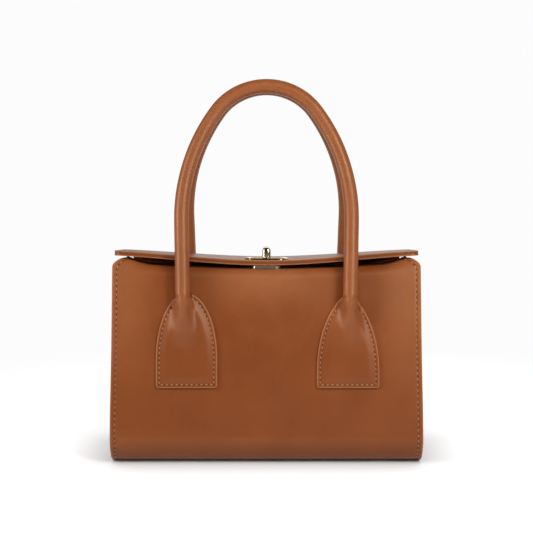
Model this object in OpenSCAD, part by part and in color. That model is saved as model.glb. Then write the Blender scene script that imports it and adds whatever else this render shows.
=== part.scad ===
/* [Body] */
// Width of the body across its two sewn side edges
body_width = 250; // [220:1:280]
// Height of the top rail over the surface that the bag stands on
body_height = 156.6; // [142:0.2:172]
// Front to back depth of the flat part of the base
base_depth = 72; // [64:1:80]
// Radius of the turn from the base into the front and rear faces
base_round = 22; // [18:0.5:26]
// Radius of the turn from the faces into the top rails
rail_round = 9; // [8:0.25:10]
// Angle by which the front and rear faces lean towards each other
face_lean = 6.84; // [5:0.1:8]
// Depth of the flat front rail that carries the lock
front_rail_depth = 21.3; // [18:0.1:24]
// Depth of the flat rear rail under the hinge
rear_rail_depth = 6.3; // [5:0.1:8]
// Width of the sewn edge that stands out past each side wall
seam_margin = 5; // [4:0.1:6]
// Radius of the upper corners of the faces, seen from the front
top_corner = 9; // [7:0.25:10]
// Angle below level at which the faces are sewn to the base
base_seam_angle = 58; // [50:1:66]

/* [Layers] */
// Thickness of the body leather
leather_thickness = 1.6; // [1.2:0.1:2]
// Thickness of the stiffening boards
board_thickness = 1.8; // [1.2:0.1:2.2]
// Thickness of the lining
lining_thickness = 1; // [0.6:0.1:1.4]
// Thickness of the leather on the lid
lid_leather_thickness = 1.3; // [1:0.1:1.5]
// Thickness of the board in the lid
lid_board_thickness = 1.8; // [1.6:0.1:2]
// Thickness of the lining of the lid
lid_lining_thickness = 1.1; // [0.9:0.1:1.3]

/* [Lid] */
// Distance of each lid end inside the sewn side edge of the body
lid_end_inset = 1; // [0.5:0.1:3]
// Distance of the lid's front edge behind the front face line
lid_edge_inset = 5.3; // [5:0.1:7]
// Depth by which the middle of the lid sags below its ends
lid_sag = 7; // [3:0.5:8]
// Angle by which the closed lid rises towards the front
lid_tilt = 1.9; // [1.8:0.1:2.4]
// Radius of the two front corners of the lid, seen from above
lid_corner = 6; // [4:0.5:10]
// Distance of the hinge line behind the start of the rear rail's turn
hinge_setback = 1.7; // [1:0.1:1.8]
// Height of the hinge line over the top rails
hinge_rise = 2.8; // [2.7:0.1:3.2]
// Radius of the rolled bead along the lid's hinge line
hinge_bead_radius = 1.9; // [1.6:0.1:2]
// Thickness of the hinge strip
hinge_strip_thickness = 1.2; // [1:0.1:1.4]
// Distance from the rail to the lower edge of the hinge strip
hinge_strip_drop = 3.2; // [2.6:0.1:3.4]

/* [Lock] */
// Distance of the lock's centre from the front end of the flat rail
lock_inset = 9.3; // [8.5:0.1:10.5]
// Length of the escutcheon along the lid's front edge
escutcheon_length = 37; // [36:0.5:40]
// Width of the escutcheon from front to back
escutcheon_width = 18; // [17:0.5:20]
// Height of the escutcheon over the lid
escutcheon_height = 1.7; // [1.4:0.1:1.8]
// Radius of the escutcheon's rolled outer edge
escutcheon_roll = 1.1; // [0.8:0.1:1.3]
// Length of the slot in the escutcheon
slot_length = 28; // [26:0.5:29]
// Width of the slot in the escutcheon
slot_width = 9.5; // [9:0.1:10.5]
// Length of the turning toggle
toggle_length = 13; // [12.5:0.25:14]
// Thickness of the turning toggle
toggle_thickness = 6.8; // [6:0.1:7.6]
// Height of the turning toggle
toggle_height = 8; // [7:0.5:9]
// Radius of the spindle that carries the toggle
spindle_radius = 2.5; // [2:0.1:2.8]
// Length of the lock base plate
lock_base_length = 27; // [25:0.5:30]
// Width of the lock base plate from front to back
lock_base_width = 14; // [12:0.5:15]
// Thickness of the lock base plate
lock_base_thickness = 2; // [1.6:0.1:2.1]

/* [Handles] */
// Distance between the two legs of a handle at its widest, on their centre lines
handle_width = 137.6; // [130:0.5:150]
// Length from the fold line to the crown of a handle, in its own plane
handle_height = 173.8; // [160:0.5:190]
// Length of the nearly straight part of each leg, in the handle's own plane
leg_length = 65.4; // [55:0.5:75]
// Radius of the long bend above each leg
shoulder_bend = 150; // [140:1:165]
// Angle by which the legs draw together towards the fold line
leg_splay = 1.5; // [0:0.1:2]
// Angle by which each standing handle leans towards the other
handle_lean = 12; // [10:0.5:12.5]
// Angle through which a handle folds down outwards
handle_fold = 80; // [60:5:85]
// Radius of the rolled handle
roll_radius = 5.9; // [5:0.1:6.2]
// Thickness of the leather round the handle's core
sleeve_thickness = 1.8; // [1.4:0.1:2.2]
// Distance of the fold line below the top rails
fold_drop = 21; // [19:0.5:24]

/* [Tabs] */
// Width of each sewn handle tab
tab_width = 49.4; // [44:0.2:56]
// Height of each tab from its lower edge to its crown, along the face
tab_height = 76; // [68:0.5:84]
// Height of the straight sides of each tab
tab_straight = 24; // [18:0.5:30]
// Thickness of each tab
tab_thickness = 1.9; // [1.5:0.1:2.2]
// Radius of the lower corners of each tab
tab_corner = 2.5; // [1.5:0.5:5]
// Distance by which the middle of a tab lies inside its handle leg
tab_shift = 2.8; // [0:0.2:4]
// Height of the tab's crown over the fold line
tab_crown_rise = 2; // [1:0.25:2.5]
// Length over which the roll dies out into its tab
swell_length = 34; // [26:1:40]

/* [Inside] */
// Width of the slip pocket on the rear lining
pocket_width = 150; // [120:5:180]
// Height of the slip pocket
pocket_height = 86; // [70:2:95]
// Thickness of the slip pocket
pocket_thickness = 0.9; // [0.6:0.1:1.2]

/* [Hidden] */
$fn = 64;

// Running gap between soft pieces of different bodies
soft_gap = 0.3;
// Slack between layers that are laid into each other
layer_gap = 0.05;
// Radial play of the spindle in the lock base
bearing_gap = 0.06;
// Length by which cuts run past what they cut
overrun = 1;
// Count of points along one turn of a drawn outline
arc_steps = 16;

// Side outline of the body: centres of its turns, seen along the width
base_centre = [base_depth / 2, base_round];
rail_centre_z = body_height - rail_round;
rail_centre = [
    base_centre[0]
        + (base_round - rail_round - (rail_centre_z - base_round) * sin(face_lean)) / cos(face_lean),
    rail_centre_z
];
front_mouth = rail_centre[0] - front_rail_depth;
rear_mouth = rail_centre[0] - rear_rail_depth;
side_wall = body_width / 2 - seam_margin;
board_inset = leather_thickness + board_thickness;
shell = board_inset + lining_thickness;
seam_gap_angle = 0.8;

// Distance of a leaning face from the middle plane at a given height
function face_y(height) =
    (base_centre[0] * cos(face_lean) + (base_round - height) * sin(face_lean) + base_round) / cos(face_lean);

// Points of an arc, from one angle to another
function arc(centre, radius, from, to) = [
    for (step = [0 : arc_steps])
        let (angle = from + (to - from) * step / arc_steps)
        centre + radius * [cos(angle), sin(angle)]
];

// Closed side outline of the body, drawn in by an inset
function half_outline(inset) = concat(
    arc(base_centre, base_round - inset, -90, face_lean),
    arc(rail_centre, rail_round - inset, face_lean, 90)
);
function mirrored(points) = [for (index = [len(points) - 1 : -1 : 0]) [-points[index][0], points[index][1]]];
function body_outline(inset) = concat(half_outline(inset), mirrored(half_outline(inset)));

// Hinge line of the lid, and the fold line of a handle
hinge_y = rail_centre[0] + hinge_setback;
hinge_z = body_height + hinge_rise;
fold_z = body_height - fold_drop;
roll_gap = 0.6;
roll_standoff = tab_thickness + roll_gap + roll_radius;
fold_y = face_y(fold_z) + roll_standoff / cos(face_lean);

// Lid, in its own frame with the hinge line at zero
lid_width = body_width - 2 * lid_end_inset;
strip_width = 2 * (side_wall - leather_thickness);
lid_thickness = lid_leather_thickness + lid_board_thickness + lid_lining_thickness;
lid_half = lid_thickness / 2;
lid_reach = hinge_y + rail_centre[0] + rail_round - lid_edge_inset;
lid_bend = (pow(lid_width / 2, 2) + pow(lid_sag, 2)) / (2 * lid_sag);
lid_lip = 3.2;
lid_slot_slack = 0.5;
plate_slot_slack = 1;

// Lock
lock_y = -(rail_centre[0] - lock_inset);
lock_reach = (hinge_y - lock_y) / cos(lid_tilt);
lock_base_top = body_height + lock_base_thickness;
toggle_gap = 0.4;
toggle_base_z = hinge_z + (lock_reach + escutcheon_width / 2) * sin(lid_tilt)
    + lid_half + escutcheon_height + toggle_gap;
lining_plate_gap = 0.4;
backing_thickness = 0.8;
backing_length = lock_base_length - 3 * spindle_radius;
backing_width = lock_base_width - 2 * spindle_radius;
backing_top = body_height - board_inset;
washer_thickness = 0.8;
washer_radius = 1.7 * spindle_radius;
washer_gap = 0.2;
washer_top = backing_top - backing_thickness - washer_gap;
rivet_radius = 0.8;
rivet_x = (escutcheon_length + slot_length) / 4;
plate_thickness = 0.8;

// Handle: the arch of each handle in its own plane
handle_half = handle_width / 2;
arch_rise = handle_height - leg_length;
shoulder_x = handle_half - shoulder_bend;
crown_bend = (pow(shoulder_bend, 2) - pow(arch_rise, 2) - pow(shoulder_x, 2)) / (2 * (shoulder_bend - arch_rise));
crown_z = handle_height - crown_bend;
shoulder_angle = atan2(crown_z - leg_length, -shoulder_x);
leg_start = [
    shoulder_x + shoulder_bend * cos(leg_splay),
    leg_length - shoulder_bend * sin(leg_splay)
];
leg_run = leg_start[1] / cos(leg_splay);
leg_x = leg_start[0] - leg_run * sin(leg_splay);
sleeve_bore = roll_radius - sleeve_thickness;
core_radius = sleeve_bore - layer_gap;
core_tip_share = 0.3;
tube_sides = 12;
shoulder_steps = 6;
crown_steps = 8;
cap_steps = 3;

// Stations along a handle's arch, each a place in its plane and the turn of its ring
function bend_station(centre, bend, turn) = [centre[0] + bend * cos(turn), centre[1] + bend * sin(turn), turn];
function flipped(station) = [-station[0], station[1], 180 - station[2]];
right_stations = concat(
    [[leg_x, 0, -leg_splay]],
    [for (step = [0 : shoulder_steps])
        bend_station([shoulder_x, leg_length], shoulder_bend,
            -leg_splay + (shoulder_angle + leg_splay) * step / shoulder_steps)],
    [for (step = [1 : crown_steps])
        bend_station([0, crown_z], crown_bend, shoulder_angle + (90 - shoulder_angle) * step / crown_steps)]
);
arch_stations = concat(
    right_stations,
    [for (index = [len(right_stations) - 2 : -1 : 0]) flipped(right_stations[index])]
);

// Rings of the rounded end below the first station, from the tip radius up to the tube's own radius
function end_rings(radius, tip_radius) = let (
    from = acos(tip_radius / roll_radius),
    to = acos(radius / roll_radius)
) [
    for (step = [0 : cap_steps - 1])
        let (
            angle = from + (to - from) * step / cap_steps,
            drop = roll_radius * sin(angle)
        )
        [leg_x - drop * sin(leg_splay), -drop * cos(leg_splay), -leg_splay, roll_radius * cos(angle)]
];
function flipped_ring(ring) = [-ring[0], ring[1], 180 - ring[2], ring[3]];
function arch_rings(radius, tip_radius) = let (tips = end_rings(radius, tip_radius)) concat(
    tips,
    [for (station = arch_stations) concat(station, [radius])],
    [for (index = [len(tips) - 1 : -1 : 0]) flipped_ring(tips[index])]
);

// Tab: places in the plane of the face, measured from the fold line
tab_x = leg_x - tab_shift;
tab_top = tab_crown_rise;
tab_bottom = tab_top - tab_height;
seat_drop = roll_standoff * tan(face_lean);
swell_top_radius = roll_radius + 1.5;
swell_end_radius = 1.4;
seat_radius = roll_radius + soft_gap;

pocket_bottom_z = base_round + board_inset;

// Colours
cognac = [0.62, 0.29, 0.12];
cognac_dark = [0.5, 0.22, 0.09];
lining_tone = [0.72, 0.6, 0.45];
board_tone = [0.6, 0.55, 0.47];
gold_tone = [0.85, 0.73, 0.5];

// A side outline carried across a width
module across(width) {
    rotate([90, 0, 90]) linear_extrude(width, center = true) children();
}

// Band of the side outline between two insets
module outline_band(outer_inset, inner_inset) {
    difference() {
        polygon(body_outline(outer_inset));
        polygon(body_outline(inner_inset));
    }
}

// Part of the side view above the base seam, on the side of positive depth
module face_region(reach_inward) {
    far = body_height + base_depth;
    seam_low = base_seam_angle - seam_gap_angle;
    polygon([
        base_centre,
        base_centre + far * [cos(seam_low), -sin(seam_low)],
        [far, far],
        [reach_inward, far],
        [reach_inward, base_centre[1]]
    ]);
}

// Part of the side view between the two base seams
module base_region() {
    far = body_height + base_depth;
    polygon([
        base_centre,
        base_centre + far * [cos(base_seam_angle), -sin(base_seam_angle)],
        [-base_centre[0] - far * cos(base_seam_angle), base_centre[1] - far * sin(base_seam_angle)],
        [-base_centre[0], base_centre[1]]
    ]);
}

// Places a shape drawn in the front face's plane, with zero on the fold line
module on_front_face() {
    translate([0, -face_y(fold_z), fold_z]) rotate([90 - face_lean, 0, 0]) children();
}

module to_rear() { mirror([0, 1, 0]) children(); }

// Round-ended outline along the width
module stadium(length, width) {
    translate([-(length - width) / 2, 0]) circle(d = width);
    translate([(length - width) / 2, 0]) circle(d = width);
    square([length - width, width], center = true);
}

// Front view of a face with its upper corners rounded, carried through the depth
module rounded_view() {
    corner_x = body_width / 2 - top_corner;
    rotate([90, 0, 0]) linear_extrude(2 * base_depth, center = true) {
        translate([-body_width, -body_height]) square([2 * body_width, 2 * body_height - top_corner]);
        for (side = [-1, 1]) translate([side * corner_x, body_height - top_corner]) circle(top_corner);
        translate([-corner_x, 0]) square([2 * corner_x, body_height + overrun]);
    }
}

// Leather face with its turned rail, on the side of positive depth
module face_leather(mouth) {
    turn_depth = board_inset + lining_thickness;
    intersection() {
        across(body_width) intersection() {
            outline_band(0, leather_thickness);
            face_region(mouth);
        }
        rounded_view();
    }
    across(2 * (side_wall - leather_thickness - lining_thickness - layer_gap))
        translate([mouth, body_height - turn_depth]) square([leather_thickness, turn_depth]);
}

module front_panel() {
    color(cognac) difference() {
        to_rear() face_leather(front_mouth);
        translate([0, lock_y, body_height]) cylinder(r = spindle_radius + lining_plate_gap, h = 2 * shell, center = true);
    }
}

module rear_panel() { color(cognac) face_leather(rear_mouth); }

module base_panel() {
    color(cognac_dark) across(body_width) intersection() {
        outline_band(0, leather_thickness);
        base_region();
    }
}

// Side wall with the flange that is sewn behind the panels' edges
module gusset(side) {
    color(cognac) {
        translate([side * (side_wall - leather_thickness / 2), 0, 0])
            across(leather_thickness) polygon(body_outline(leather_thickness));
        translate([side * (side_wall + seam_margin / 2), 0, 0]) across(seam_margin) intersection() {
            outline_band(leather_thickness, 2 * leather_thickness);
            translate([-body_width, 0]) square([2 * body_width, rail_centre_z]);
        }
    }
}

// Stiffener behind a leaning face, on the side of positive depth
module face_board() {
    color(board_tone) across(2 * (side_wall - leather_thickness - layer_gap)) intersection() {
        outline_band(leather_thickness, board_inset);
        translate([0, base_round]) square([body_width, rail_centre_z - base_round]);
    }
}

module base_board() {
    color(board_tone) across(2 * (side_wall - leather_thickness - layer_gap)) intersection() {
        outline_band(leather_thickness, board_inset);
        translate([-base_depth / 2, 0]) square([base_depth, base_round]);
    }
}

module front_rail_board() {
    color(board_tone) difference() {
        to_rear() across(2 * (side_wall - leather_thickness - layer_gap)) intersection() {
            outline_band(leather_thickness, board_inset);
            translate([front_mouth + leather_thickness, rail_centre_z])
                square([rail_centre[0] - front_mouth - leather_thickness, 2 * rail_round]);
        }
        translate([0, lock_y, body_height]) cylinder(r = spindle_radius + lining_plate_gap, h = 2 * shell, center = true);
    }
}

// Lining of one face with its rail, on the side of positive depth
module face_lining(mouth) {
    across(2 * (side_wall - leather_thickness - lining_thickness - layer_gap)) intersection() {
        outline_band(board_inset, shell);
        translate([mouth + leather_thickness, 0]) square([body_width, body_height]);
        face_region(mouth + leather_thickness);
    }
}

module front_lining() {
    color(lining_tone) difference() {
        to_rear() face_lining(front_mouth);
        translate([0, lock_y, backing_top - shell]) linear_extrude(2 * shell)
            stadium(backing_length + 2 * lining_plate_gap, backing_width + 2 * lining_plate_gap);
    }
}

module rear_lining() { color(lining_tone) face_lining(rear_mouth); }

module side_lining(side) {
    color(lining_tone)
        translate([side * (side_wall - leather_thickness - lining_thickness / 2), 0, 0])
            across(lining_thickness) polygon(body_outline(board_inset));
}

module base_lining() {
    color(lining_tone) across(2 * (side_wall - leather_thickness - lining_thickness - layer_gap)) intersection() {
        outline_band(board_inset, shell);
        base_region();
    }
}

// Patch of lining sewn to the rear lining on three sides
module slip_pocket() {
    color(lining_tone) across(pocket_width) intersection() {
        outline_band(shell, shell + pocket_thickness);
        translate([0, pocket_bottom_z]) square([body_width, pocket_height]);
    }
}

// Strip sewn down the rear face, with the seat that the lid's bead turns in
module hinge_strip() {
    seat = hinge_bead_radius + soft_gap;
    seat_outer = seat + hinge_strip_thickness;
    color(cognac_dark) difference() {
        across(strip_width) difference() {
            union() {
                intersection() {
                    outline_band(-hinge_strip_thickness, 0);
                    translate([hinge_y, body_height - hinge_strip_drop])
                        square([body_width, hinge_z - body_height + hinge_strip_drop]);
                }
                intersection() {
                    translate([hinge_y, hinge_z]) circle(seat_outer);
                    translate([hinge_y, body_height - rail_round]) square([2 * seat_outer, hinge_rise + rail_round]);
                }
            }
            translate([hinge_y, hinge_z]) circle(seat);
            polygon(body_outline(0));
        }
    }
}

// Oval plate on the front rail with the bearing of the spindle
module lock_base() {
    rim = lock_base_thickness / 3;
    color(gold_tone) translate([0, lock_y, body_height]) difference() {
        union() {
            linear_extrude(lock_base_thickness - rim) stadium(lock_base_length, lock_base_width);
            linear_extrude(lock_base_thickness) stadium(lock_base_length - 2 * rim, lock_base_width - 2 * rim);
        }
        translate([0, 0, -overrun]) cylinder(r = spindle_radius + bearing_gap, h = lock_base_thickness + 2 * overrun);
    }
}

module lock_backing_plate() {
    color(gold_tone) translate([0, lock_y, backing_top - backing_thickness]) difference() {
        linear_extrude(backing_thickness) stadium(backing_length, backing_width);
        translate([0, 0, -overrun]) cylinder(r = spindle_radius + bearing_gap, h = backing_thickness + 2 * overrun);
    }
}

// Outline of a tab in the face plane, with zero height on the fold line
function tab_outline() = let (
    half = tab_width / 2,
    arch_base = tab_bottom + tab_straight,
    arch_height = tab_height - tab_straight
) concat(
    arc([half - tab_corner, tab_bottom + tab_corner], tab_corner, -90, 0),
    [for (step = [0 : 2 * arc_steps])
        let (angle = 180 * step / (2 * arc_steps))
        [half * cos(angle), arch_base + arch_height * sin(angle)]],
    arc([tab_corner - half, tab_bottom + tab_corner], tab_corner, 180, 270)
);

// Sewn tab of the front right leg, with the swelling below the roll and its seat
module tab() {
    swell_slope = atan2(roll_standoff - swell_top_radius, swell_length);
    difference() {
        union() {
            translate([tab_x, 0, 0]) linear_extrude(tab_thickness) polygon(tab_outline());
            intersection() {
                translate([leg_x, -seat_drop - swell_length, 0]) rotate([-90 + swell_slope, 0, 0])
                    cylinder(r1 = swell_end_radius, r2 = swell_top_radius, h = swell_length / cos(swell_slope));
                translate([leg_x - tab_width / 2, -seat_drop - 2 * swell_length, 0])
                    cube([tab_width, 2 * swell_length, 2 * roll_standoff]);
            }
        }
        translate([leg_x, -seat_drop, roll_standoff]) fold_space();
    }
}

// Space that the rounded leg end and the leg folding outwards need below the fold line
module fold_space() {
    rotate_extrude() {
        intersection() {
            circle(seat_radius);
            translate([0, -seat_radius]) square([seat_radius, 2 * seat_radius]);
        }
        square([seat_radius, 4 * roll_radius]);
    }
}

module front_right_tab() { color(cognac) on_front_face() tab(); }
module front_left_tab() { color(cognac) mirror([1, 0, 0]) on_front_face() tab(); }
module rear_right_tab() { color(cognac) to_rear() on_front_face() tab(); }
module rear_left_tab() { color(cognac) to_rear() mirror([1, 0, 0]) on_front_face() tab(); }

// Places the lid's own frame on the hinge line
module on_hinge() {
    translate([0, hinge_y, hinge_z]) rotate([-lid_tilt, 0, 0]) children();
}

// Sagging sheet between two heights over the lid's middle layer
module sagging_sheet(low, high, margin) {
    far = 2 * lid_reach;
    intersection() {
        translate([0, far / 2, lid_bend]) rotate([90, 0, 0]) linear_extrude(far) difference() {
            circle(lid_bend - low, $fn = 360);
            circle(lid_bend - high, $fn = 360);
        }
        translate([0, 0, -lid_width / 4]) linear_extrude(lid_width / 2) lid_plan(margin);
    }
}

// Lid seen from above, drawn in by a margin
module lid_plan(margin) {
    half = lid_width / 2 - margin;
    front = margin - lid_reach;
    corner = lid_corner - margin;
    polygon(concat(
        [[-half, 0]],
        arc([corner - half, front + corner], corner, 180, 270),
        arc([half - corner, front + corner], corner, 270, 360),
        [[half, 0]]
    ));
}

// Slot through the lid, widened by a margin
module lid_slot(margin) {
    translate([0, -lock_reach, -lid_thickness]) linear_extrude(2 * lid_thickness + escutcheon_height)
        stadium(slot_length + 2 * margin, slot_width + 2 * margin);
}

module rivet_holes(slack) {
    for (side = [-1, 1]) translate([side * rivet_x, -lock_reach, -lid_thickness])
        cylinder(r = rivet_radius + slack, h = 2 * lid_thickness);
}

// Top leather of the lid, turned over its edges, with the bead along the hinge line
module lid_leather() {
    bead_half = strip_width / 2 - lid_corner;
    color(cognac) on_hinge() difference() {
        union() {
            sagging_sheet(-lid_half, lid_half, 0);
            rotate([0, 90, 0]) cylinder(r = hinge_bead_radius, h = 2 * bead_half, center = true);
            difference() {
                translate([-bead_half, -lid_lip, -hinge_bead_radius])
                    cube([2 * bead_half, lid_lip, lid_sag + lid_thickness]);
                translate([0, 0, lid_bend]) rotate([90, 0, 0])
                    cylinder(r = lid_bend - lid_half, h = 4 * lid_lip, center = true, $fn = 360);
            }
        }
        intersection() {
            sagging_sheet(-lid_half - overrun, lid_half - lid_leather_thickness, lid_leather_thickness);
            translate([-lid_width, -2 * lid_reach - lid_lip, -lid_width / 4])
                cube([2 * lid_width, 2 * lid_reach, lid_width / 2]);
        }
        translate([0, -lock_reach, lid_half]) linear_extrude(2 * lid_thickness) stadium(escutcheon_length, escutcheon_width);
        lid_slot(lid_slot_slack);
        rivet_holes(layer_gap);
    }
}

// Layer laid into the lid leather between two heights
module lid_layer(low, high) {
    difference() {
        intersection() {
            sagging_sheet(low, high, lid_leather_thickness + layer_gap);
            translate([-lid_width, -2 * lid_reach - lid_lip - layer_gap, -lid_width / 4])
                cube([2 * lid_width, 2 * lid_reach, lid_width / 2]);
        }
        lid_slot(lid_slot_slack);
        rivet_holes(layer_gap);
    }
}

module lid_board() {
    color(board_tone) on_hinge()
        lid_layer(lid_lining_thickness - lid_half, lid_half - lid_leather_thickness - layer_gap);
}

module lid_lining() {
    color(lining_tone) on_hinge() difference() {
        lid_layer(-lid_half, lid_lining_thickness - lid_half - layer_gap);
        translate([0, -lock_reach, -lid_thickness]) linear_extrude(lid_thickness)
            stadium(escutcheon_length + 2 * layer_gap, escutcheon_width + 2 * layer_gap);
    }
}

// Half of the escutcheon's section, rolled down along its outer edge
module escutcheon_section() {
    half = escutcheon_width / 2;
    square([half - escutcheon_roll, escutcheon_height]);
    square([half, escutcheon_height - escutcheon_roll]);
    translate([half - escutcheon_roll, escutcheon_height - escutcheon_roll]) intersection() {
        circle(escutcheon_roll);
        square(escutcheon_roll);
    }
}

// Oval ring round the slot on top of the lid, with a rolled outer edge
module escutcheon() {
    straight = escutcheon_length - escutcheon_width;
    color(gold_tone) on_hinge() translate([0, -lock_reach, lid_half]) difference() {
        union() {
            across(straight) {
                escutcheon_section();
                mirror([1, 0]) escutcheon_section();
            }
            for (side = [0, 180]) rotate([0, 0, side]) translate([straight / 2, 0, 0])
                rotate([0, 0, -90]) rotate_extrude(angle = 180) escutcheon_section();
        }
        translate([0, 0, -overrun]) linear_extrude(escutcheon_height + 2 * overrun) stadium(slot_length, slot_width);
    }
}

module escutcheon_back_plate() {
    color(gold_tone) on_hinge() translate([0, -lock_reach, lid_lining_thickness - lid_half - layer_gap - plate_thickness])
        difference() {
            linear_extrude(plate_thickness) stadium(escutcheon_length, escutcheon_width);
            translate([0, 0, -overrun]) linear_extrude(plate_thickness + 2 * overrun)
                stadium(slot_length + 2 * plate_slot_slack, slot_width + 2 * plate_slot_slack);
            for (side = [-1, 1]) translate([side * rivet_x, 0, -overrun])
                cylinder(r = rivet_radius + layer_gap, h = plate_thickness + 2 * overrun);
        }
}

// Two rivets that hold the escutcheon to its back plate
module escutcheon_rivets() {
    rivet_low = lid_lining_thickness - lid_half - layer_gap - plate_thickness;
    color(gold_tone) on_hinge() for (side = [-1, 1])
        translate([side * rivet_x, -lock_reach, rivet_low])
            cylinder(r = rivet_radius, h = lid_half - rivet_low);
}

// Toggle bar with rounded ends on its neck and spindle
module turn_toggle() {
    end = toggle_thickness / 2;
    color(gold_tone) translate([0, lock_y, 0]) {
        translate([0, 0, toggle_base_z]) intersection() {
            rotate([90, 0, 0]) linear_extrude(toggle_length, center = true) {
                translate([0, toggle_height - end]) circle(end);
                translate([-end, 0]) square([2 * end, toggle_height - end]);
            }
            rotate([90, 0, 90]) linear_extrude(2 * toggle_thickness, center = true) {
                translate([toggle_length / 2 - end, toggle_height - end]) circle(end);
                translate([end - toggle_length / 2, toggle_height - end]) circle(end);
                translate([end - toggle_length / 2, 0]) square([toggle_length - 2 * end, toggle_height]);
                translate([-toggle_length / 2, 0]) square([toggle_length, toggle_height - end]);
            }
        }
        translate([0, 0, washer_top - 2 * washer_thickness])
            cylinder(r = spindle_radius, h = toggle_base_z + overrun - washer_top + 2 * washer_thickness);
    }
}

// Washer riveted on the lower end of the spindle
module retaining_washer() {
    color(gold_tone) translate([0, lock_y, washer_top - washer_thickness]) difference() {
        cylinder(r = washer_radius, h = washer_thickness);
        translate([0, 0, -overrun]) cylinder(r = spindle_radius + layer_gap, h = washer_thickness + 2 * overrun);
    }
}

// Tube through a list of rings, each a station and a radius, closed at its ends or into a loop
module ring_tube(rings, looped) {
    count = len(rings);
    spans = looped ? count : count - 1;
    points = [
        for (ring = rings)
            for (side = [0 : tube_sides - 1])
                let (angle = 360 * side / tube_sides, out = ring[3] * cos(angle))
                [ring[0] + out * cos(ring[2]), ring[1] + out * sin(ring[2]), ring[3] * sin(angle)]
    ];
    walls = [
        for (span = [0 : spans - 1])
            for (side = [0 : tube_sides - 1])
                let (
                    next_side = (side + 1) % tube_sides,
                    here = span * tube_sides,
                    there = ((span + 1) % count) * tube_sides
                )
                each [
                    [here + side, here + next_side, there + next_side],
                    [here + side, there + next_side, there + side]
                ]
    ];
    ends = looped ? [] : [
        [for (side = [tube_sides - 1 : -1 : 0]) side],
        [for (side = [0 : tube_sides - 1]) (count - 1) * tube_sides + side]
    ];
    polyhedron(points, faces = concat(walls, ends));
}

// Places the front handle's plane on its fold line
module on_fold_line() {
    translate([0, -fold_y, fold_z]) rotate([90 - handle_lean, 0, 0]) children();
}

module handle_sleeve() {
    ring_tube(concat(
        arch_rings(roll_radius, sleeve_bore),
        [for (index = [len(arch_stations) - 1 : -1 : 0]) concat(arch_stations[index], [sleeve_bore])]
    ), true);
}

module handle_core() { ring_tube(arch_rings(core_radius, core_radius * core_tip_share), false); }

module front_handle_sleeve() { color(cognac) on_fold_line() handle_sleeve(); }
module front_handle_core() { color(board_tone) on_fold_line() handle_core(); }
module rear_handle_sleeve() { color(cognac) to_rear() on_fold_line() handle_sleeve(); }
module rear_handle_core() { color(board_tone) to_rear() on_fold_line() handle_core(); }

front_panel();
rear_panel();
gusset(-1);  // left_gusset
gusset(1);  // right_gusset
base_panel();
to_rear() face_board();  // front_board
face_board();  // rear_board
base_board();
front_rail_board();
front_lining();
rear_lining();
side_lining(-1);  // left_lining
side_lining(1);  // right_lining
base_lining();
slip_pocket();
hinge_strip();
lock_base();
lock_backing_plate();
front_left_tab();
front_right_tab();
rear_left_tab();
rear_right_tab();
lid_leather();
lid_board();
lid_lining();
escutcheon();
escutcheon_back_plate();
escutcheon_rivets();
turn_toggle();
retaining_washer();
front_handle_sleeve();
front_handle_core();
rear_handle_sleeve();
rear_handle_core();
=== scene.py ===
from math import atan2, cos, exp, pi, radians, sin, sqrt

import bpy
from mathutils import Matrix, Vector, noise


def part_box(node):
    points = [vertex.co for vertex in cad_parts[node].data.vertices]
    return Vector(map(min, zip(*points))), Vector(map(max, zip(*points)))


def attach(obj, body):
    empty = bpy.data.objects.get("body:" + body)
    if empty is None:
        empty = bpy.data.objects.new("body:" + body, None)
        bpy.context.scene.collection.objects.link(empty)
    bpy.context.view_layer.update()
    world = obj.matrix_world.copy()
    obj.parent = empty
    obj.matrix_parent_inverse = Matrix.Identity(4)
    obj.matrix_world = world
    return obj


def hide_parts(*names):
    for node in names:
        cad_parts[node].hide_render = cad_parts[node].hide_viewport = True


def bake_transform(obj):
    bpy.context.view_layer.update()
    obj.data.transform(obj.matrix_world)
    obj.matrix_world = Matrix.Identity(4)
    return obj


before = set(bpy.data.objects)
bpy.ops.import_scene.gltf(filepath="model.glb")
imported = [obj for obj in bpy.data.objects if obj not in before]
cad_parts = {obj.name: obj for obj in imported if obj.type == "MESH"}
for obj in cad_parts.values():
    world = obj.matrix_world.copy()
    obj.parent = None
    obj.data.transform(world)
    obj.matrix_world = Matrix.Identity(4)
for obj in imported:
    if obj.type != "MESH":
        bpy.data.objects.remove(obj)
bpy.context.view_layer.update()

mm = 0.001
bpy.ops.object.select_all(action='DESELECT')
print('frame loaded')

# Camera: fitted to the photo's outlines, level frame with the optical axis on row 244
view = {
    'lens': 84.43,
    'sensor': 36.0,
    'place': (0.0, -1048.74, 248.19),
    'pitchDown': 4.015,
    'axisRow': 244.0,
    'frameSize': 533.0,
}


def addCamera():
    place = [value * mm for value in view['place']]
    bpy.ops.object.camera_add(location=place, rotation=(radians(90 - view['pitchDown']), 0, 0))
    camera = bpy.context.object
    camera.name = 'productCamera'
    camera.data.lens = view['lens']
    camera.data.sensor_width = view['sensor']
    camera.data.shift_y = (view['axisRow'] - view['frameSize'] / 2) / view['frameSize']
    bpy.context.scene.camera = camera


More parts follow.
